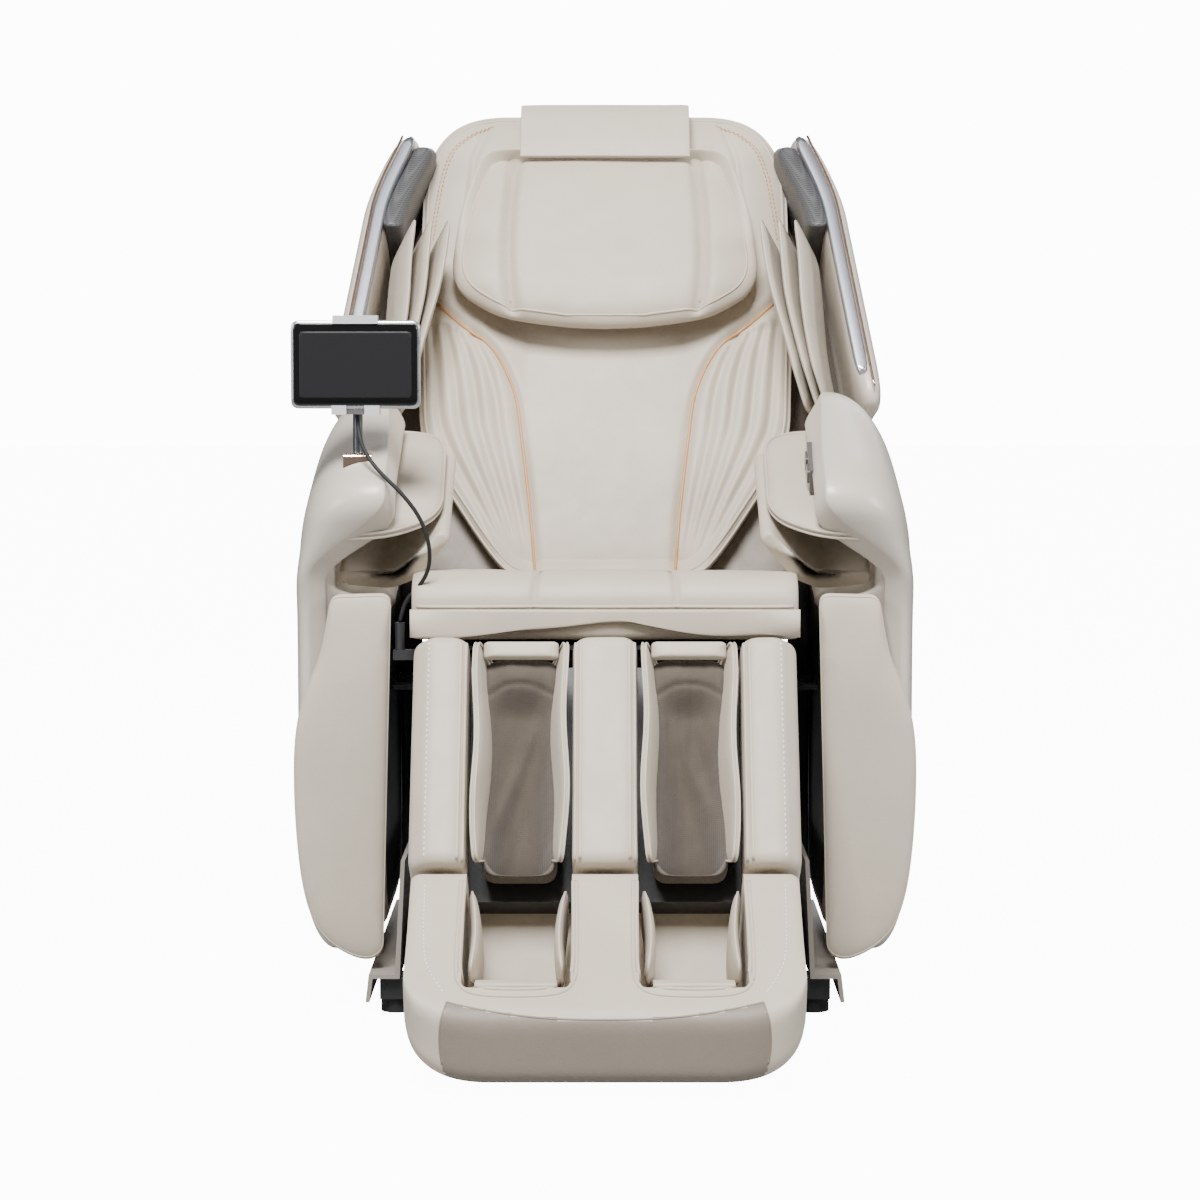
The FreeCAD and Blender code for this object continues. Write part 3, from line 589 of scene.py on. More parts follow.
PALETTE = {
    "leather": lambda: leather("chair_leather", colours("leather")),
    "pad_leather": lambda: leather("soft_pad_leather", colours("leather"), 0.55, 0.45, 0.75),
    "deep_leather": lambda: leather("deep_leather", colours("deep_leather"), 0.48),
    "gold": lambda: leather("gold_piping", colours("gold"), 0.35, 0.2, 0.1),
    "thread": lambda: leather("pale_thread", colours("thread"), 0.7, 0.6, 0.0),
    "lining": lambda: woven("well_lining", colours("lining")),
    "shell": lambda: painted("shell_paint", colours("shell"), 0.40),
    "plinth": lambda: painted("plinth_plastic", colours("plinth"), 0.55, 0.2, 0.0),
    "frame": lambda: painted("frame_powder_coat", (0.012, 0.012, 0.013), 0.5, 0.3, 0.0),
    "motor": lambda: painted("motor_plastic", (0.02, 0.02, 0.022), 0.5, 0.2, 0.0),
    "rubber": lambda: painted("black_rubber", (0.008, 0.008, 0.008), 0.7, 0.5, 0.0),
    "roller": lambda: painted("roller_plastic", (0.10, 0.07, 0.05), 0.35, 0.1, 0.1),
    "steel": lambda: metal("drawn_steel", (0.50, 0.50, 0.51), 0.28, 0.2),
    "rose_gold": lambda: metal("rose_gold", colours("rose_gold"), 0.18),
    "strip": lambda: metal("silver_strip", colours("strip"), 0.30, 0.1),
    "pole": lambda: metal("post_aluminium", (0.20, 0.21, 0.23), 0.30, 0.1),
    "bezel": lambda: metal("tablet_aluminium", (0.55, 0.56, 0.58), 0.28),
    "clamp": lambda: painted("clamp_plastic", (0.52, 0.52, 0.54), 0.35),
    "glass": lambda: painted("black_glass", (0.003, 0.003, 0.003), 0.08, 0.0, 0.3),
    "display": lambda: node_material("dark_display", (0.014, 0.014, 0.015), 0.35, specular=0.25)[0],
    "keys": lambda: painted("key_plastic", (0.09, 0.08, 0.075), 0.30),
    "speaker": lambda: perforated("speaker_grille", colours("speaker"), 0.0026),
}


# ---------- small helpers for sewing ----------


def on_face(thing, points, place, lift=0.0):
    """Points given in a piece's x and z, carried back onto its front face and lifted off it."""
    points = np.asarray(points, float)
    tree = BVHTree.FromObject(thing, bpy.context.evaluated_depsgraph_get())
    hits = []
    starts, ends = (place(np.insert(points, 1, y, axis=1)) for y in (-1.0, 1.0))
    for start, end in zip(starts, ends):
        way = Vector(end - start).normalized()
        hit = tree.ray_cast(Vector(start), way)[0]
        if hit is not None:
            hits.append(np.array(hit) - np.array(way) * lift)
    return np.array(hits)


def sewn(name, thing, line, place, body, radius, key="leather", slot="seat_leather", lift=0.0, closed=False):
    """A welt or piping along a line on a piece's face."""
    return dress(tube(name, on_face(thing, line, place, lift), radius, closed), material(key), body, slot)


def sewn_stitches(name, thing, line, place, body, key="thread", slot="seat_leather"):
    """A row of stitches along a line on a piece's face."""
    path = on_face(thing, line, place, STITCH_LIFT)
    return dress(stitches(name, path, sizes("stitch")), material(key), body, slot)


def mirrored(line):
    """The line on the other side of the middle plane."""
    line = np.asarray(line, float)
    return line * np.array([-1.0] + [1.0] * (line.shape[1] - 1))


def rim(outline, share, count=220):
    """The outline drawn in towards its middle to this share."""
    outline = np.asarray(outline, float)
    middle = outline.mean(0)
    return smooth_line(middle + (outline - middle) * share, count, closed=True)


def edge_welt(name, outline, place, level, radius, body, count, axis=0, share=1.0):
    """A leather cord round a pad's edge, at this level along the axis that the pad faces."""
    ring = place(np.insert(rim(outline, share, count), axis, level, axis=1))
    dress(tube(name, ring, radius, closed=True), material("leather"), body, "seat_leather")


STRAP_HALF_WIDTH, STRAP_THICKNESS, STRAP_RIPPLE = 0.117, 0.006, 0.0012


def strap(name, path, place):
    """A strap: a flat rounded section carried along a path in local Y and Z, with a slight ripple."""
    path = smooth_line(path, 60)
    ahead = np.gradient(path, axis=0)
    ahead /= np.linalg.norm(ahead, axis=1)[:, None]
    across_y, across_z = -ahead[:, None, 1], ahead[:, None, 0]
    turn = np.linspace(0, 2 * math.pi, 72, endpoint=False)
    x = STRAP_HALF_WIDTH * np.sign(np.cos(turn)) * np.abs(np.cos(turn))**0.12
    t = 0.5 * STRAP_THICKNESS * np.sign(np.sin(turn)) * np.abs(np.sin(turn))**0.5
    x = np.broadcast_to(x, (60, 72))
    points = np.stack([x, path[:, None, 0] + across_y * t, path[:, None, 1] + across_z * t], axis=-1)
    ripple = STRAP_RIPPLE * waves(points, 0.11, 3)
    points = points + ripple[..., None] * np.stack([0 * x, across_y + 0 * t, across_z + 0 * t], axis=-1)
    return mesh_from_rings(name, place(points))


# ---------- backrest ----------

PIPING = [(0.242, 0.475), (0.198, 0.430), (0.151, 0.389), (0.1226, 0.328), (0.112, 0.260), (0.100, 0.155),
          (0.0926, 0.066)]
SHOULDER_STITCH = [(0.156, 0.744), (0.190, 0.724), (0.212, 0.701), (0.225, 0.660), (0.2316, 0.619),
                   (0.240, 0.555)]
BOLSTER_EDGE = [(0.250, 0.560), (0.250, 0.430), (0.247, 0.300), (0.228, 0.240), (0.170, 0.140),
                (0.128, 0.066)]
BACK_OUTLINE = [(-0.124, 0.056), (0.124, 0.056), (0.158, 0.098), (0.248, 0.245), (0.254, 0.40),
                (0.252, 0.690), (0.200, 0.764), (-0.200, 0.764), (-0.252, 0.690), (-0.254, 0.40),
                (-0.248, 0.245), (-0.158, 0.098)]
PILLOW_HALF = [(0.0, 0.401), (0.0567, 0.404), (0.1324, 0.4165), (0.1733, 0.4365), (0.1968, 0.4576),
               (0.2063, 0.486), (0.205, 0.521), (0.1955, 0.586), (0.1763, 0.650), (0.164, 0.672),
               (0.130, 0.679), (0.0, 0.680)]


def build_back_shell():
    """Rear cover of the backrest, its two wing brackets and the lining behind the cushion."""
    profile = rounded_outline([(-0.250, 0.006), (0.250, 0.006), (0.250, 0.110), (0.200, 0.1634),
                               (-0.200, 0.1634), (-0.250, 0.110)], (0.01, 0.01, 0.05, 0.06, 0.06, 0.05), 140)

    def panels(p):
        seam = bell(np.abs(p[..., 0]) - 0.165, 0.002) + bell(p[..., 2] - 0.60, 0.002)
        rear = np.clip((p[..., 1] - 0.10) / 0.04, 0, 1)
        q = p.copy()
        q[..., 1] -= 0.0018 * seam * rear
        return q

    shell = bar("back_cover", profile, in_back, 0.014, 0.747, 0.045, 180, shape=panels)
    dress(shell, material("shell"), "back", "arm_shell_paint", "back_shell")
    outline = rounded_outline([(-0.246, 0.030), (0.246, 0.030), (0.248, 0.700), (0.200, 0.762),
                               (-0.200, 0.762), (-0.248, 0.700)], 0.05, 260)

    def slack(u, v):
        return 0.0035 * face_waves(u, v, 0.16, 11)

    # The liner behind the cushion takes the darker copy of the leather: painted shade behind the V.
    liner = pad("back_liner", outline, in_back, -0.0225, 0.003, 0.2, rings=40, shape=slack)
    stuff(liner, "deep_leather", "back", 0.3)
    # The side webs are dark sheets in the gaps between cushion and wings: painted shade behind the shoulder
    # pads.
    web = rounded_outline([(0.200, 0.200), (0.249, 0.200), (0.252, 0.286), (0.318, 0.312), (0.330, 0.340),
                           (0.288, 0.690), (0.200, 0.690)], 0.01, 90)
    for side, s in SIDES.items():
        place = on_side(in_back, s)
        shade_web = pad(f"side_web_{side}", web, place, -0.012, 0.012, 0.2, rings=12)
        stuff(shade_web, "lining", "back", 0.2, slot="well_fabric")
        block = rounded_outline([(0.020, 0.560), (0.100, 0.560), (0.100, 0.690), (0.020, 0.690)], 0.012, 60)
        bracket = pad(f"wing_bracket_{side}", block, place, 0.246, 0.281, 0.1, rings=10, axis=0)
        dress(bracket, material("shell"), "back", "arm_shell_paint")


def build_back_cushion():
    """V-shaped back cushion: pleated side bolsters, gold piping, shoulder stitching and a double welt."""
    corners = (0.03, 0.03, 0.04, 0.05, 0.05, 0.06, 0.06, 0.06, 0.06, 0.05, 0.05, 0.04)
    outline = rounded_outline(BACK_OUTLINE, corners, 460)
    piping = smooth_line(PIPING, 60)
    edge = smooth_line(BOLSTER_EDGE, 60)
    start = 14
    pleats = [smooth_line(piping[start:] * (1 - f) + edge[start:] * f, 50) for f in (0.22, 0.42, 0.62, 0.82)]

    def sewing(u, v):
        low = sizes("seam") * 1.25 * near_line(np.abs(u), v, piping, 0.006)
        for line in pleats:
            low = low + sizes("pleat") * near_line(np.abs(u), v, line, 0.0062)
        low = low + 0.004 * near_line(np.abs(u), v, [(0.157, 0.760), (0.182, 0.690), (0.190, 0.600)], 0.004)
        side = np.clip((np.abs(u) - 0.105) / 0.06, 0, 1)
        middle = 0.014 * (1 - side) * np.clip((0.62 - v) / 0.2, 0, 1)
        return low + middle + 0.0016 * face_waves(u, v, 0.13, 5)

    cushion = pad("back_cushion_cover", outline, in_back, -0.078, -0.0215, 0.25, 0.42, 110, sewing)
    stuff(cushion, "leather", "back", 0.7, "back_cushion")
    for side, s in SIDES.items():
        flip = np.array([s, 1.0])
        sewn(f"back_piping_{side}", cushion, piping[2:] * flip, in_back, "back", sizes("piping"), "gold",
             lift=0.0008)
        shoulder = smooth_line(SHOULDER_STITCH, 60) * flip
        for row, gap in (("outer", 0.0022), ("inner", -0.0022)):
            line = shoulder + np.array([s * gap, 0.0])
            sewn_stitches(f"shoulder_stitch_{row}_{side}", cushion, line, in_back, "back", "gold")
    for row, share in (("outer", 0.994), ("inner", 0.972)):
        sewn(f"back_welt_{row}", cushion, rim(outline, share, 360), in_back, "back", sizes("welt"),
             lift=-0.0002, closed=True)


def build_pillow():
    """Head pillow in three panels, with its bottom welt, and the strap that it hangs from."""
    half = smooth_line(PILLOW_HALF, 110)
    outline = np.concatenate([half, mirrored(half)[::-1][1:-1]])
    seam = smooth_line([(0.1235, 0.684), (0.1300, 0.600), (0.1326, 0.520), (0.1300, 0.460), (0.1240, 0.412)],
                       60)

    def sewing(u, v):
        low = sizes("seam") * 2.2 * near_line(np.abs(u), v, seam, 0.008)
        slope = 0.030 * np.clip((v - 0.46) / 0.22, 0, 1)
        return low + slope + 0.0022 * face_waves(u, v, 0.15, 8)

    pillow = pad("pillow_cover", outline, in_back, -0.140, -0.081, 0.42, 0.5, 90, sewing)
    stuff(pillow, "leather", "head_pillow", 0.75, "pillow")
    lower = smooth_line(PILLOW_HALF[1:9], 90)
    welt = np.concatenate([mirrored(lower)[::-1], lower])
    middle = np.array([0.0, 0.53])
    welt = middle + (welt - middle) * 0.93
    sewn("pillow_welt", pillow, welt, in_back, "head_pillow", 0.0018, lift=-0.0002)
    for side, s in SIDES.items():
        line = seam * np.array([s, 1.0])
        sewn(f"pillow_seam_{side}", pillow, line[4:-5], in_back, "head_pillow", 0.0010)
    flap = strap("pillow_flap", [(-0.110, 0.668), (-0.111, 0.690), (-0.106, 0.730), (-0.096, 0.756)], in_back)
    stuff(flap, "leather", "head_pillow", 0.2)
    over = strap("strap_over_top", [(-0.095, 0.757), (-0.080, 0.765), (-0.040, 0.769), (0.040, 0.770),
                                    (0.110, 0.767), (0.124, 0.752)], in_back)
    stuff(over, "leather", "back", 0.2, "pillow_strap")


def build_wings():
    """Side wings with silver strips and faceted speaker panels, and the fans of shoulder air pads."""
    ear = [(-0.190, 0.264), (-0.170, 0.244), (0.040, 0.306), (0.120, 0.360), (0.150, 0.500), (0.146, 0.690),
           (0.060, 0.742), (-0.092, 0.716), (-0.120, 0.690)]
    speaker = [(-0.150, 0.540), (0.000, 0.540), (0.004, 0.690), (-0.084, 0.706), (-0.112, 0.690)]
    leaf = [(-0.176, 0.300), (-0.150, 0.262), (-0.092, 0.268), (-0.082, 0.400), (-0.080, 0.526),
            (-0.172, 0.534), (-0.182, 0.420)]
    for side, s in SIDES.items():
        def place(p, s=s):
            p = np.asarray(p, float)
            q = p.copy()
            q[..., 0] -= 0.030 * soft_step(p[..., 2], 0.56, 0.76)
            return in_wing(s)(q)

        outline = rounded_outline(ear, 0.03, 240)
        wing = pad(f"wing_shell_{side}", outline, place, 0.330, 0.368, 0.15, 0.35, 40, axis=0)
        dress(wing, material("shell"), "back", "arm_shell_paint", f"wing_{side}")
        band = [(-0.189, 0.290), (-0.176, 0.290), (-0.112, 0.700), (-0.126, 0.700)]
        band = rounded_outline(band, 0.003, 90)
        strip = pad(f"silver_strip_{side}", band, place, 0.334, 0.3505, 0.0, 0.3, 8, axis=0)
        dress(strip, material("strip"), "back", "rose_gold")
        rise = np.linspace(0.268, 0.692, 50)
        line = place(np.stack([0.352 + 0 * rise, -0.1935 + 0.1544 * (rise - 0.284), rise], axis=1))
        replaced = ("wing_trims",) if side == "left" else ()
        dress(tube(f"wing_trim_{side}", line, 0.0019), material("rose_gold"), "back", "rose_gold", *replaced)
        outline = rounded_outline(speaker, 0.004, 150)
        grille = pad(f"speaker_grille_{side}", outline, place, 0.306, 0.340, 0.0, 0.5, 24, axis=0)
        replaced = ("speaker_panels",) if side == "left" else ()
        dress(grille, material("speaker"), "back", "speaker_plastic", *replaced)
        for number, x in enumerate((0.246, 0.264, 0.282), start=1):
            outline = rounded_outline(leaf, 0.009, 160)

            def fanned(p, s=s, number=number):
                p = np.asarray(p, float)
                q = p.copy()
                fan = 0.34 * (p[..., 1] + 0.13) - (0.20 - 0.03 * number) * (p[..., 2] - 0.40)
                q[..., 0] = s * (p[..., 0] + fan + 0.003 * np.sin(22 * p[..., 2] + number))
                return in_back(q)

            faces = x - 0.0065, x + 0.0065
            air_pad = pad(f"shoulder_pad_{number}_{side}", outline, fanned, *faces, 0.5, 0.5, 24, axis=0)
            replaced = (f"shoulder_pads_{side}",) if number == 1 else ()
            stuff(air_pad, "pad_leather", "back", 0.35, *replaced)
            edge_welt(f"shoulder_welt_{number}_{side}", outline, fanned, x, 0.0017, "back", 160)


# ---------- seat and arms ----------


def build_side_shade_panels():
    """Dark guards that close the slots between the seat and the arm housings."""
    edge = rounded_outline([(0.240, 0.100), (0.2675, 0.100), (0.2675, 0.530), (0.240, 0.530)], 0.004, 60)
    for side, s in SIDES.items():
        shade_panel = pad(f"side_guard_{side}", edge, on_side(upright, s), 0.100, 0.128, 0.0, 0.2, 8)
        dress(shade_panel, material("motor"), "seat", "motor_plastic")


def build_seat():
    """Seat cushion in three panels with a rolled front, and the apron with its wavy hem."""
    profile = rounded_outline([(-0.222, 0.458), (-0.226, 0.520), (-0.190, 0.539), (-0.130, 0.538),
                               (-0.030, 0.510), (0.134, 0.496), (0.134, 0.456)],
                              (0.012, 0.02, 0.03, 0.05, 0.05, 0.02, 0.01), 150)

    def sewing(p):
        q = p.copy()
        seam = bell(np.abs(p[..., 0]) - 0.084 + 0.10 * (p[..., 1] + 0.2), 0.0035)
        swell = 0.003 * np.cos(math.pi * (np.abs(p[..., 0]) % 0.173) / 0.173)**2
        top = np.clip((p[..., 2] - 0.475) / 0.03, 0, 1)
        q[..., 2] += top * (0.0015 * waves(p, 0.14, 21) - 0.006 * seam)
        q[..., 1] += top * (0.004 * seam) * (p[..., 1] < -0.15)
        q[..., 1] -= swell * (p[..., 1] < -0.2)
        return q

    seat = bar("seat_cover", profile, upright, -0.237, 0.237, 0.022, 170, axis=0, shape=sewing)
    stuff(seat, "leather", "seat", 0.75, "seat_cushion")
    x = np.linspace(-0.236, 0.236, 90)
    hem = 0.462 + 0.018 * bell(x, 0.10) + 0.002 * np.sin(40 * x)
    outline = np.concatenate([np.stack([x, hem], 1), np.stack([x[::-1], 0.496 + 0 * x], 1)])
    apron = pad("apron_cover", outline, upright, -0.2345, -0.2275, 0.2, rings=18, centre=(0.0, 0.488))
    stuff(apron, "leather", "seat", 0.2, "seat_apron")
    across = np.linspace(-0.228, 0.228, 120)
    top_line = np.stack([across, 0.499 + 0 * across], axis=1)
    sewn("seat_roll_welt", seat, top_line, upright, "seat", sizes("welt"), lift=-0.0005)


HOUSING_Y, HOUSING_Z = 0.070, 0.400
CAVITY_WALL_X = 0.331


def housing_boundary(count):
    """Side outline of an arm housing, as a distance from its middle for each angle."""
    outline = rounded_outline([(-0.150, 0.062), (-0.190, 0.130), (-0.190, 0.480), (-0.212, 0.545),
                               (-0.262, 0.628), (-0.236, 0.664), (-0.020, 0.757), (0.046, 0.750),
                               (0.110, 0.716), (0.225, 0.690), (0.318, 0.600), (0.330, 0.400), (0.318, 0.180),
                               (0.240, 0.078), (0.100, 0.062)],
                              (0.03, 0.06, 0.05, 0.03, 0.022, 0.05, 0.05, 0.03, 0.05, 0.06, 0.06, 0.1, 0.08,
                               0.06, 0.05), 700)
    rel = outline - np.array([HOUSING_Y, HOUSING_Z])
    angle = np.arctan2(rel[:, 1], rel[:, 0])
    order = np.argsort(angle)
    wanted = np.linspace(-math.pi, math.pi, count, endpoint=False)
    reach = np.interp(wanted, angle[order], np.linalg.norm(rel, axis=1)[order], period=2 * math.pi)
    return wanted, reach


def build_arm_housing(side, s):
    """Arm housing, one skin. Rays run over its outer face, round the rim and back over its inner face.
    Beside the seat the rim hooks inwards over the forearm pads, and it narrows as it turns down the front."""
    count = 420
    angle, reach = housing_boundary(count)
    y_rim, z_rim = HOUSING_Y + reach * np.cos(angle), HOUSING_Z + reach * np.sin(angle)
    crown = soft_step(z_rim, 0.680, 0.760)
    hooked = soft_step(z_rim, 0.530, 0.635) * (1 - soft_step(y_rim, -0.030, 0.190))
    crease = 0.362 - 0.030 * soft_step(-z_rim, -0.16, -0.07) - 0.020 * soft_step(y_rim, 0.05, 0.15)
    crease = crease + hooked * (0.266 + 0.008 * crown - crease)
    inner = 0.340 + hooked * (0.2525 - 0.340)
    band = 0.016 + 0.024 * hooked + 0.006 * crown

    def outer_width(z):
        dz = (z - HOUSING_Z) / 0.362
        power = np.where(dz > 0, 3.4, 5.0)
        return 0.292 + 0.088 * np.maximum(1 - np.abs(dz)**power, 0)**(1 / power)

    share = np.sin(np.linspace(0, math.pi / 2, 60))
    r = share[:, None] * reach[None]
    z = HOUSING_Z + r * np.sin(angle)
    front = soft_step(-np.cos(angle), 0.1, 0.8) * (1 - hooked)
    fall = (1 - share[:, None]**(7.0 + 5.0 * front))**(1 / 2.8)
    x = crease + (np.maximum(outer_width(z), crease + 0.001) - crease) * fall
    outer = np.stack([x, HOUSING_Y + r * np.cos(angle), z], axis=-1)

    floor = soft_step(z_rim, 0.505, 0.545) * (1 - soft_step(y_rim, 0.10, 0.16))
    away = reach - band - 0.006
    bottom_reach = np.where(np.sin(angle) > 0.2, (0.505 - HOUSING_Z) / np.maximum(np.sin(angle), 0.2), 0.2)
    deep = np.minimum(away, np.maximum(bottom_reach, 0.12))
    tucked, walled = away * (1 - floor), CAVITY_WALL_X * floor
    # Distance from the middle, and x: from the rim's lip, over its edge and along the wall inside it.
    stations = [
        (reach - 0.001, crease - 0.002),
        (reach - 0.3 * band, crease + 0.3 * (inner - crease) - 0.002),
        (reach - 0.8 * band, inner),
        (reach - band, inner + 0.002),
        (reach - band - 0.003, inner + 0.010),
        (away, np.maximum(inner, CAVITY_WALL_X) * floor + inner * (1 - floor)),
        (tucked + 0.5 * (away + deep) * floor, walled + 0.300 * (1 - floor)),
        (0.98 * tucked + deep * floor, walled + 0.280 * (1 - floor)),
        (0.98 * deep * floor + 0.94 * tucked, 0.270 + 0 * inner),
        (0.5 * deep, 0.268 + 0 * inner),
        (0.12 * deep, 0.268 + 0 * inner),
    ]
    line = np.stack([np.stack(pair, axis=-1) for pair in stations])
    for _ in range(2):
        a, b = line[:-1], line[1:]
        cut = np.stack([0.75 * a + 0.25 * b, 0.25 * a + 0.75 * b], axis=1).reshape(-1, count, 2)
        line = np.concatenate([line[:1], cut, line[-1:]])
    inside = np.stack([line[..., 1], HOUSING_Y + line[..., 0] * np.cos(angle),
                       HOUSING_Z + line[..., 0] * np.sin(angle)], axis=-1)
    points = np.concatenate([outer[1:], inside])
    points[..., 0] *= s
    housing = mesh_from_rings(f"arm_housing_{side}", points)
    dress(housing, material("shell"), "seat", "arm_shell_paint", f"arm_shell_{side}", f"arm_cap_{side}")
    # The lower and rear faces of the inner wall get the black plastic: painted shade for the slot beside the
    # seat.
    housing.data.materials.append(material("motor"))
    centres = face_centres(housing)
    in_painted_shade = (centres[:, 2] < 0.56) | (centres[:, 1] > 0.12)
    inner_wall = (np.abs(np.abs(centres[:, 0]) - 0.269) < 0.0022) & in_painted_shade
    housing.data.polygons.foreach_set("material_index", inner_wall.astype(np.int32))


def face_centres(thing):
    """The middle of each face of a piece."""
    centres = np.empty(len(thing.data.polygons) * 3)
    thing.data.polygons.foreach_get("center", centres)
    return centres.reshape(-1, 3)


def build_arms():
    """Arm housings, their leather front panels, and the upper and lower forearm pads."""
    front = [(0.272, 0.068), (0.300, 0.060), (0.348, 0.088), (0.370, 0.140), (0.380, 0.240), (0.380, 0.345),
             (0.362, 0.405), (0.345, 0.440), (0.333, 0.512), (0.260, 0.514)]
    upper = [(0.200, 0.030), (0.203, 0.236), (0.236, 0.262), (0.326, 0.262), (0.326, -0.022), (0.262, -0.018)]
    lower = [(0.186, 0.022), (0.230, -0.034), (0.262, -0.048), (0.326, -0.042), (0.326, -0.022),
             (0.266, -0.028), (0.243, -0.015), (0.200, 0.034)]
    for side, s in SIDES.items():
        place, arm = on_side(upright, s), on_side(in_arm, s)
        build_arm_housing(side, s)
        outline = rounded_outline(front, (0.015, 0.03, 0.05, 0.06, 0.08, 0.05, 0.04, 0.04, 0.012, 0.014), 240)
        panel = pad(f"arm_front_{side}", outline, place, -0.2145, -0.1885, 0.35, 0.4, 40)
        dress(panel, material("leather"), "seat", "front_panel", f"arm_front_panel_{side}")
        sewn(f"arm_front_welt_{side}", panel, rim(outline, 0.985), place, "seat", 0.0012, lift=-0.0003,
             closed=True)
        outline = rounded_outline(upper, (0.05, 0.04, 0.03, 0.02, 0.02, 0.03), 220)
        top_pad = pad(f"forearm_pad_upper_{side}", outline, arm, 0.026, 0.056, 0.45, 0.5, 34, axis=2)
        stuff(top_pad, "pad_leather", "seat", 0.5, f"arm_pad_upper_{side}")
        for row, level in (("over", 0.0445), ("under", 0.0385)):
            edge_welt(f"forearm_welt_{row}_{side}", outline, arm, level, 0.0018, "seat", 200, 2, 1.004)
        outline = rounded_outline(lower, 0.012, 120)
        tray = bar(f"forearm_pad_lower_{side}", outline, arm, 0.008, 0.234, 0.012, 60, axis=1)
        stuff(tray, "pad_leather", "seat", 0.5, f"arm_pad_lower_{side}")


def build_tablet():
    """Tablet with its black glass, display and silver frame."""
    low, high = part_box("tablet_case")

    def face(margin_x, margin_z):
        left, right, bottom, top = low.x + margin_x, high.x - margin_x, low.z + margin_z, high.z - margin_z
        return [(left, bottom), (right, bottom), (right, top), (left, top)]

    for name, margins, radius, count, front, rear, edge, rings, key, slot, replaced in (
            ("body", (0, 0), 0.010, 160, low.y, high.y, 0.16, 30, "bezel", "tablet_shell", ["tablet_case"]),
            ("glass_front", (0.0035, 0.0035), 0.007, 140, low.y - 0.0012, low.y + 0.003, 0.12, 16, "glass",
             "tablet_glass", ["tablet_screen"]),
            ("display", (0.010, 0.013), 0.001, 80, low.y - 0.0016, low.y, 0.12, 8, "display", "tablet_glass",
             [])):
        outline = rounded_outline(face(*margins), radius, count)
        piece = pad(f"tablet_{name}", outline, upright, front, rear, 0.0, edge, rings)
        dress(piece, material(key), "tablet", slot, *replaced)


CABLE_ROUTE = [(-0.300, -0.2046, 0.736), (-0.299, -0.209, 0.712), (-0.290, -0.229, 0.686),
               (-0.270, -0.246, 0.662), (-0.244, -0.250, 0.638), (-0.222, -0.246, 0.609),
               (-0.211, -0.238, 0.576), (-0.212, -0.226, 0.544), (-0.227, -0.210, 0.520),
               (-0.245, -0.198, 0.503), (-0.250, -0.196, 0.478)]


def route_line(route):
    """Points along a smooth NURBS line that has the route's points as its control points."""
    curve = bpy.data.curves.new("route", "CURVE")
    curve.dimensions = "3D"
    spline = curve.splines.new("NURBS")
    spline.points.add(len(route) - 1)
    for point, place in zip(spline.points, route):
        point.co = (*place, 1)
    spline.order_u = 3
    spline.use_endpoint_u = True
    spline.resolution_u = 12
    holder = bpy.data.objects.new("route", curve)
    link(holder)
    line = bpy.data.meshes.new_from_object(holder.evaluated_get(bpy.context.evaluated_depsgraph_get()))
    points = np.empty(len(line.vertices) * 3)
    line.vertices.foreach_get("co", points)
    bpy.data.objects.remove(holder)
    bpy.data.meshes.remove(line)
    return points.reshape(-1, 3)


def build_cable():
    """The tablet's lead, from the gland beside the seat to the clamp's relief. Its top follows the post."""
    line = route_line(CABLE_ROUTE)[::-1]
    lead = tube("tablet_lead", line, sizes("cable") / 2, sides=12)
    lead.data.materials.append(material("rubber"))
    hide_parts("tablet_cable")
    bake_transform(lead)
    sizes("cable")


# ---------- legrest ----------


def build_calf():
    """Calf unit: three padded ribs, welted leaf flaps and sagging fabric in each well."""
    outer = [(0.160, 0.011), (0.160, -0.074), (0.172, -0.087), (0.206, -0.088), (0.227, -0.064),
             (0.227, 0.011)]
    centre = [(-0.038, 0.011), (-0.038, -0.076), (-0.028, -0.088), (0.028, -0.088), (0.038, -0.076),
              (0.038, 0.011)]

    def soft(p):
        q = p.copy()
        q[..., 1] -= 0.0015 * waves(p, 0.12, 31) * (p[..., 1] < -0.03)
        return q

    start, end = -0.305, -0.015
    for side, s in SIDES.items():
        place = on_side(in_leg, s)
        rib = bar(f"calf_rib_{side}", rounded_outline(outer, 0.010, 110), place, start, end, 0.018, 60,
                  shape=soft)
        replaced = ("calf_side_ribs", "calf_flaps", "calf_liners") if side == "left" else ()
        stuff(rib, "leather", "leg", 0.7, *replaced)
        z = np.linspace(start + 0.008, end - 0.008, 70)
        sewn_stitches(f"calf_stitch_{side}", rib, np.stack([0.2075 + 0 * z, z], 1), place, "leg")
        for row, x in (("outer", 0.1700), ("inner", 0.1640)):
            sewn(f"calf_welt_{row}_{side}", rib, np.stack([x + 0 * z, z], 1), place, "leg", 0.0022,
                 lift=-0.0003)
        build_calf_well(side, place, start, end)
    rib = bar("calf_rib_middle", rounded_outline(centre, 0.010, 110), in_leg, start, end, 0.018, 60,
              shape=soft)
    stuff(rib, "leather", "leg", 0.7, "calf_centre_rib")
    for side, s in SIDES.items():
        for row, x in (("outer", 0.0345), ("inner", 0.0285)):
            line = np.stack([s * x + 0 * z, z], 1)
            sewn(f"rib_welt_{row}_{side}", rib, line, in_leg, "leg", 0.0022, lift=-0.0003)


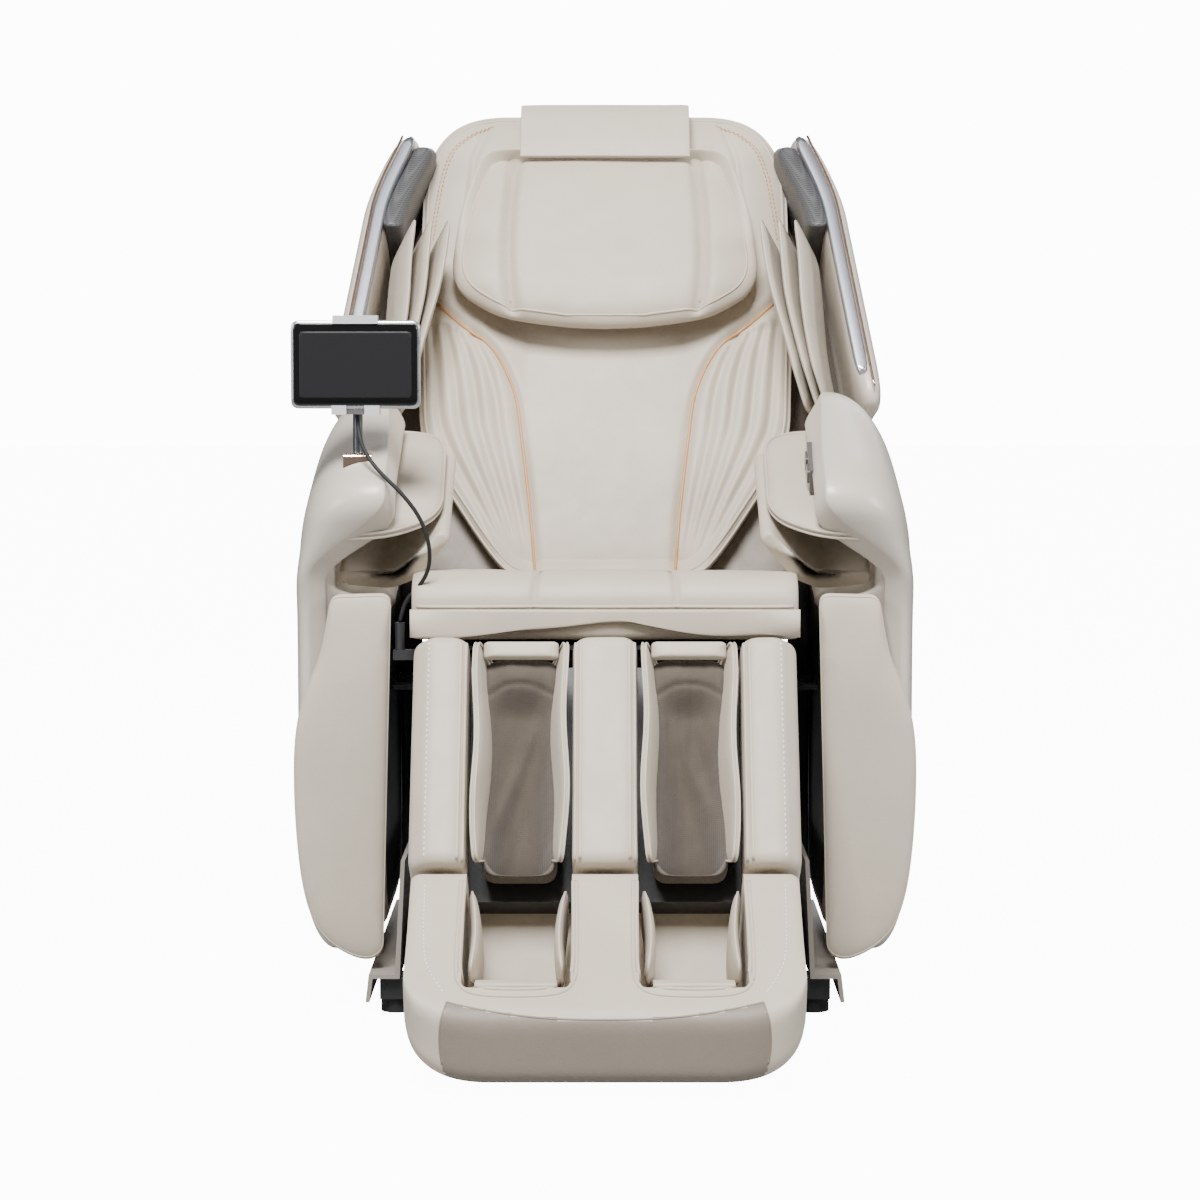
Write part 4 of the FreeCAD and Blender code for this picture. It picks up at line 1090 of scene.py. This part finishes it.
def build_calf_well(side, place, start, end):
    """One well: two leaf flaps, a top band and the stretch fabric that sags between them."""
    for name, x, lean in (("inner", 0.0475, 0.20), ("outer", 0.1505, -0.20)):
        leaf = rounded_outline([(0.006, start + 0.040), (-0.074, start + 0.008), (-0.086, start + 0.10),
                                (-0.084, end - 0.05), (-0.078, end - 0.004), (0.006, end - 0.004)], 0.014,
                               170)

        def bowed(p, lean=lean, x=x):
            q = np.asarray(p, float).copy()
            along = (q[..., 2] - start) / (end - start)
            q[..., 0] += lean * (q[..., 1] + 0.080) + 0.0022 * np.sin(9 * along + 40 * x)
            return place(q)

        flap = pad(f"calf_flap_{name}_{side}", leaf, bowed, x - 0.0055, x + 0.0055, 0.4, 0.5, 26, axis=0)
        stuff(flap, "pad_leather", "leg", 0.35)
        for row, shift in (("a", 0.0022), ("b", -0.0022)):
            edge_welt(f"calf_flap_welt_{row}_{name}_{side}", leaf, bowed, x + shift, 0.0014, "leg", 190)
    cloth = rounded_outline([(0.0555, start + 0.006), (0.1430, start + 0.006), (0.1430, end - 0.012),
                             (0.0555, end - 0.012)], 0.018, 200)
    arch = smooth_line([(0.058, end - 0.062), (0.080, end - 0.050), (0.100, end - 0.047),
                        (0.120, end - 0.050), (0.141, end - 0.062)], 40)

    def sag(u, v):
        across = np.clip(1 - ((u - 0.099) / 0.044)**2, 0, 1)
        along = (v - start) / (end - start)
        dip = 0.056 * across**0.8 * np.clip(1.05 - along, 0, 1)**0.5 * soft_step(end - 0.035 - v, 0.0, 0.05)
        fold = 0.006 * bell(u - 0.122 + 0.10 * (along - 0.3), 0.009) * soft_step(along, 0.02, 0.3)
        gathers = 0.0035 * face_waves(u, v * 0.35, 0.05, 41 if side == "left" else 57)
        return dip - fold * (1 - soft_step(along, 0.6, 0.8)) + gathers + 0.003 * near_line(u, v, arch, 0.003)

    # The lining's dark colour is partly painted shade for the deep wells.
    liner = pad(f"calf_lining_{side}", cloth, place, -0.052, 0.012, 0.0, 0.30, 60, sag)
    stuff(liner, "lining", "leg", 0.1, slot="well_fabric")
    strip = rounded_outline([(0.055, end - 0.020), (0.144, end - 0.020), (0.144, end + 0.001),
                             (0.055, end + 0.001)],
                            0.004, 80)
    band = pad(f"calf_top_band_{side}", strip, place, -0.066, -0.050, 0.3, 0.5, 12)
    stuff(band, "leather", "leg", 0.3)


FOOT_FACE = [(-0.078, -0.310), (-0.200, -0.525), (-0.158, -0.590), (0.005, -0.479), (0.070, -0.440),
             (0.070, -0.310)]


def build_foot():
    """Foot box with two wells cut through its face, seamed front, welted edges, leaf flaps and soft soles."""
    profile = rounded_outline(FOOT_FACE, (0.016, 0.018, 0.020, 0.03, 0.03, 0.006), 170)

    def turned_in(p):
        q = p.copy()
        t = np.clip((np.abs(p[..., 0]) - 0.120) / 0.104, 0, 1)
        close = (1 - t**2.6)**(1 / 2.6)
        down = np.clip((-0.321 - p[..., 2]) / 0.247, 0, 1)
        shrink = 1 - (1 - close) * 0.42 * down
        q[..., 2] = -0.321 + (p[..., 2] + 0.321) * shrink
        q[..., 1] = p[..., 1] + (1 - close) * 0.030 * down * soft_step(-p[..., 1], 0.0, 0.14)
        return q

    box = bar("foot_box", profile, in_leg, -0.2235, 0.2235, 0.016, 150, axis=0, shape=turned_in)
    well = rounded_outline([(0.052, -0.300), (0.052, -0.422), (-0.176, -0.484), (-0.260, -0.484),
                            (-0.230, -0.300)],
                           (0.004, 0.014, 0.004, 0.02, 0.02), 120)
    tools = [bar(f"well_tool_{s}", well, in_leg, s * 0.098 - 0.0625, s * 0.098 + 0.0625, 0.018, 20, axis=0)
             for s in (-1, 1)]
    for tool in tools:
        cut = box.modifiers.new("well", "BOOLEAN")
        cut.operation = "DIFFERENCE"
        cut.solver = "EXACT"
        cut.object = tool
    graph = bpy.context.evaluated_depsgraph_get()
    finished = bpy.data.meshes.new_from_object(box.evaluated_get(graph))
    box.modifiers.clear()
    box.data = finished
    for tool in tools:
        bpy.data.objects.remove(tool)
    stuff(box, "leather", "foot", 0.7, "foot_shell", "foot_flaps", "foot_soles", slot="foot_leather")
    # The faces below the front seam get the darker copy of the leather as painted shade.
    box.data.materials.append(material("deep_leather"))
    shade_lower_face(box)
    box.data.polygons.foreach_set("use_smooth", np.ones(len(box.data.polygons), bool))
    box.data.set_sharp_from_angle(angle=math.radians(38))
    build_foot_sewing(box)
    for side, s in SIDES.items():
        build_foot_well(side, s)


def shade_lower_face(box):
    """Gives the faces below the front seam the deeper leather."""
    centres = face_centres(box)
    hinge_y, hinge_z, lean = LEG_FRAME
    c, s = math.cos(math.radians(lean)), math.sin(math.radians(lean))
    local_z = s * (centres[:, 1] - hinge_y) + c * (centres[:, 2] - hinge_z)
    below = (local_z < foot_front_seam(centres[:, 0])) & (np.abs(centres[:, 0]) < foot_side_seam(local_z))
    box.data.polygons.foreach_set("material_index", below.astype(np.int32))


def foot_front_seam(x):
    """How far down the front the seam between the two leathers is: lowest in the middle."""
    return -0.526 + 0.022 * np.clip(np.abs(x) / 0.172, 0, 1.2)**2.5


def foot_side_seam(local_z):
    """How far from the middle the front face's side seams are at a height."""
    return 0.172 + 0.008 * np.sin(math.pi * np.clip((-0.504 - local_z) / 0.08, 0, 1))


def build_foot_sewing(box):
    """Stitches, the front seam and the side seams of the foot box."""
    for side, s in SIDES.items():
        line = smooth_line([(0.205, -0.330), (0.203, -0.400), (0.197, -0.450), (0.176, -0.492)], 60) * (s, 1)
        sewn_stitches(f"foot_stitch_{side}", box, line, in_leg, "foot", slot="foot_leather")
        fall = np.linspace(-0.504, -0.566, 40)
        line = np.stack([s * foot_side_seam(fall), fall], 1)
        sewn(f"foot_side_seam_{side}", box, line, in_leg, "foot", 0.0013, "deep_leather", "foot_leather",
             lift=-0.0006)
    x = np.linspace(-0.172, 0.172, 120)
    line = np.stack([x, foot_front_seam(x)], 1)
    sewn("foot_front_seam", box, line, in_leg, "foot", 0.0014, "deep_leather", "foot_leather", lift=-0.0006)


def build_foot_well(side, s):
    """Leaf flaps on both walls of a foot well, its sole pad and the welts round its mouth."""
    place = on_side(in_leg, s)
    for name, x, lean in (("inner", 0.0455, 1), ("outer", 0.1510, -1)):
        leaf = rounded_outline([(0.030, -0.334), (-0.078, -0.332), (-0.104, -0.360), (-0.160, -0.450),
                                (-0.140, -0.462), (0.030, -0.416)], 0.020, 150)

        def bowed(p, lean=lean):
            q = np.asarray(p, float).copy()
            q[..., 0] += lean * 0.006 * np.sin((q[..., 2] + 0.47) * 24)
            return place(q)

        flap = pad(f"foot_flap_{name}_{side}", leaf, bowed, x - 0.006, x + 0.006, 0.5, 0.5, 24, axis=0)
        stuff(flap, "pad_leather", "foot", 0.4)
        edge_welt(f"foot_flap_welt_{name}_{side}", leaf, bowed, x, 0.0016, "foot", 150)
    sole = rounded_outline([(0.038, -0.411), (-0.150, -0.465), (-0.176, -0.479), (-0.168, -0.483),
                            (0.038, -0.423)], 0.004, 80)
    pad_sole = bar(f"foot_sole_{side}", sole, place, 0.0525, 0.1440, 0.006, 30, axis=0)
    stuff(pad_sole, "pad_leather", "foot", 0.4, slot="well_fabric")
    mouth = smooth_line([(0.0370, -0.326), (0.0362, -0.380), (0.0362, -0.440), (0.0400, -0.466),
                         (0.0560, -0.480), (0.098, -0.4835), (0.140, -0.480), (0.156, -0.466),
                         (0.1598, -0.440), (0.1598, -0.380), (0.1590, -0.326)], 160)
    box, top = bpy.data.objects["foot_box"], np.array([0.098, -0.326])
    for row, grow in (("near", 1.012), ("far", 1.075)):
        line = top + (mouth - top) * grow
        sewn(f"foot_mouth_welt_{row}_{side}", box, line * np.array([s, 1]), in_leg, "foot", 0.0023,
             slot="foot_leather", lift=-0.0002)


# ---------- frame finishes and the stage ----------

CAD_FINISHES = {
    "frame": ("base_frame", "slide_frame", "seat_frame", "back_frame", "calf_tray", "foot_slide_bars"),
    "motor": ("back_actuator", "leg_actuator", "control_box", "air_pump", "power_inlet", "power_switch",
              "cable_gland"),
    "steel": ("back_actuator_rod", "leg_actuator_rod", "massage_carriage"),
    "plinth": ("base_plinths",),
    "rubber": ("foot_pads", "transport_wheels"),
    "roller": ("kneading_rollers", "foot_rollers"),
    "rose_gold": ("post_foot",),
    "pole": ("tablet_post",),
    "clamp": ("tablet_clamp", "clamp_jaw"),
    "keys": ("key_panel", "key_power", "key_program"),
}


def finish_cad_nodes():
    """Materials for the frame, mechanism, base and tablet parts that show as they are."""
    for key, nodes in CAD_FINISHES.items():
        for node in nodes:
            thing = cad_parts[node]
            thing.data.materials.clear()
            thing.data.materials.append(material(key))


FLOOR_GLOW = 12.0
WORLD_LIGHT, BACKDROP_LIGHT = 0.20, 13.0
LAMP_AIM = (0, 0, 0.6)
CAMERA_PLACE, CAMERA_DIP = (0.0, -4.17, 0.828), 4.65


def build_stage():
    """Pale floor and backdrop, soft lights round the chair, and a long lens that looks slightly down."""
    bpy.ops.mesh.primitive_plane_add(size=40, location=(0, 0, -0.0005))
    floor = bpy.context.object
    floor.name = "floor"
    floor_material, tree, shader = node_material("pale_floor", (0.32, 0.32, 0.32), 0.7, specular=0.1)
    rays, glow = tree.nodes.new("ShaderNodeLightPath"), tree.nodes.new("ShaderNodeMath")
    glow.operation = "MULTIPLY"
    glow.inputs[1].default_value = FLOOR_GLOW
    tree.links.new(rays.outputs["Is Camera Ray"], glow.inputs[0])
    tree.links.new(glow.outputs[0], shader.inputs["Emission Strength"])
    shader.inputs["Emission Color"].default_value = (1, 1, 1, 1)
    floor.data.materials.append(floor_material)
    world = bpy.data.worlds.new("studio")
    world.use_nodes = True
    tree = world.node_tree
    lit, seen_by = tree.nodes["Background"], tree.nodes.new("ShaderNodeBackground")
    lit.inputs["Color"].default_value = (0.93, 0.96, 1.0, 1)
    lit.inputs["Strength"].default_value = WORLD_LIGHT
    seen_by.inputs["Color"].default_value = (1, 1, 1, 1)
    seen_by.inputs["Strength"].default_value = BACKDROP_LIGHT
    rays, choice = tree.nodes.new("ShaderNodeLightPath"), tree.nodes.new("ShaderNodeMixShader")
    tree.links.new(rays.outputs["Is Camera Ray"], choice.inputs["Fac"])
    tree.links.new(lit.outputs[0], choice.inputs[1])
    tree.links.new(seen_by.outputs[0], choice.inputs[2])
    tree.links.new(choice.outputs[0], tree.nodes["World Output"].inputs["Surface"])
    bpy.context.scene.world = world
    lights = (("key_light", (-0.4, -2.5, 3.8), 1.4, 400), ("fill_light", (3.2, -1.6, 1.9), 1.2, 85),
              ("side_light", (-2.8, -1.8, 1.6), 1.1, 46), ("rear_light", (0.6, 3.4, 2.4), 2.4, 60))
    for name, place, size, power in lights:
        lamp = bpy.data.lights.new(name, "AREA")
        lamp.size = size
        lamp.energy = power
        thing = bpy.data.objects.new(name, lamp)
        thing.location = place
        thing.rotation_euler = (Vector(LAMP_AIM) - Vector(place)).to_track_quat("-Z", "Y").to_euler()
        link(thing)
    camera = bpy.data.cameras.new("camera")
    camera.sensor_width = 36
    camera.lens = 98.2
    camera.shift_x = -0.0042
    seen = bpy.data.objects.new("camera", camera)
    seen.location = CAMERA_PLACE
    seen.rotation_euler = (math.radians(90 - CAMERA_DIP), 0, 0)
    link(seen)
    bpy.context.scene.camera = seen


# ---------- add-on ----------


def operator(name, label, text, work):
    """An operator class that runs one builder."""

    def execute(self, context):
        work()
        return {"FINISHED"}

    members = {"bl_idname": f"chair.{name}", "bl_label": label, "__doc__": text, "execute": execute,
               "bl_options": {"REGISTER", "UNDO"}}
    return type(f"CHAIR_OT_{name}", (bpy.types.Operator,), members)


OPERATORS = [
    operator("stage", "Stage", "Adds the floor, lights and camera.", build_stage),
    operator("cable", "Tablet Cable", "Adds the tablet's lead.", build_cable),
    operator("back_shell", "Back Shell", "Adds the rear cover and the lining.", build_back_shell),
    operator("back_cushion", "Back Cushion", "Adds the pleated back cushion.", build_back_cushion),
    operator("pillow", "Pillow", "Adds the head pillow and its strap.", build_pillow),
    operator("wings", "Wings", "Adds the wings, speakers and shoulder pads.", build_wings),
    # The dark side panels are painted shade in the slots beside the seat.
    operator("guards", "Side Guards", "Adds the dark guards beside the seat.", build_side_shade_panels),
    operator("seat", "Seat", "Adds the seat cushion and apron.", build_seat),
    operator("arms", "Arms", "Adds the arm housings and forearm pads.", build_arms),
    operator("tablet", "Tablet", "Adds the tablet.", build_tablet),
    operator("calf", "Calf Unit", "Adds the calf ribs, flaps and linings.", build_calf),
    operator("foot", "Foot Unit", "Adds the foot box, flaps and soles.", build_foot),
    operator("finishes", "Frame Finishes", "Gives the CAD parts their materials.", finish_cad_nodes),
]


class CHAIR_PT_panel(bpy.types.Panel):
    """Lists the chair's settings and pieces in the sidebar."""

    bl_label = "Massage Chair"
    bl_idname = "CHAIR_PT_panel"
    bl_space_type = "VIEW_3D"
    bl_region_type = "UI"
    bl_category = "Massage Chair"

    def draw(self, context):
        for group in (context.scene.chair_colours, context.scene.chair_sizes):
            box = self.layout.box()
            for name in group.__annotations__:
                box.prop(group, name)
        for kind in OPERATORS:
            self.layout.operator(kind.bl_idname)


CLASSES = [ChairColours, ChairSizes, *OPERATORS, CHAIR_PT_panel]


def register():
    for kind in CLASSES:
        bpy.utils.register_class(kind)
    bpy.types.Scene.chair_colours = bpy.props.PointerProperty(type=ChairColours)
    bpy.types.Scene.chair_sizes = bpy.props.PointerProperty(type=ChairSizes)


def unregister():
    del bpy.types.Scene.chair_sizes
    del bpy.types.Scene.chair_colours
    for kind in reversed(CLASSES):
        bpy.utils.unregister_class(kind)


def main():
    register()
    for kind in OPERATORS:
        getattr(bpy.ops.chair, kind.bl_idname.split(".")[1])()


if __name__ == "__main__":
    main()
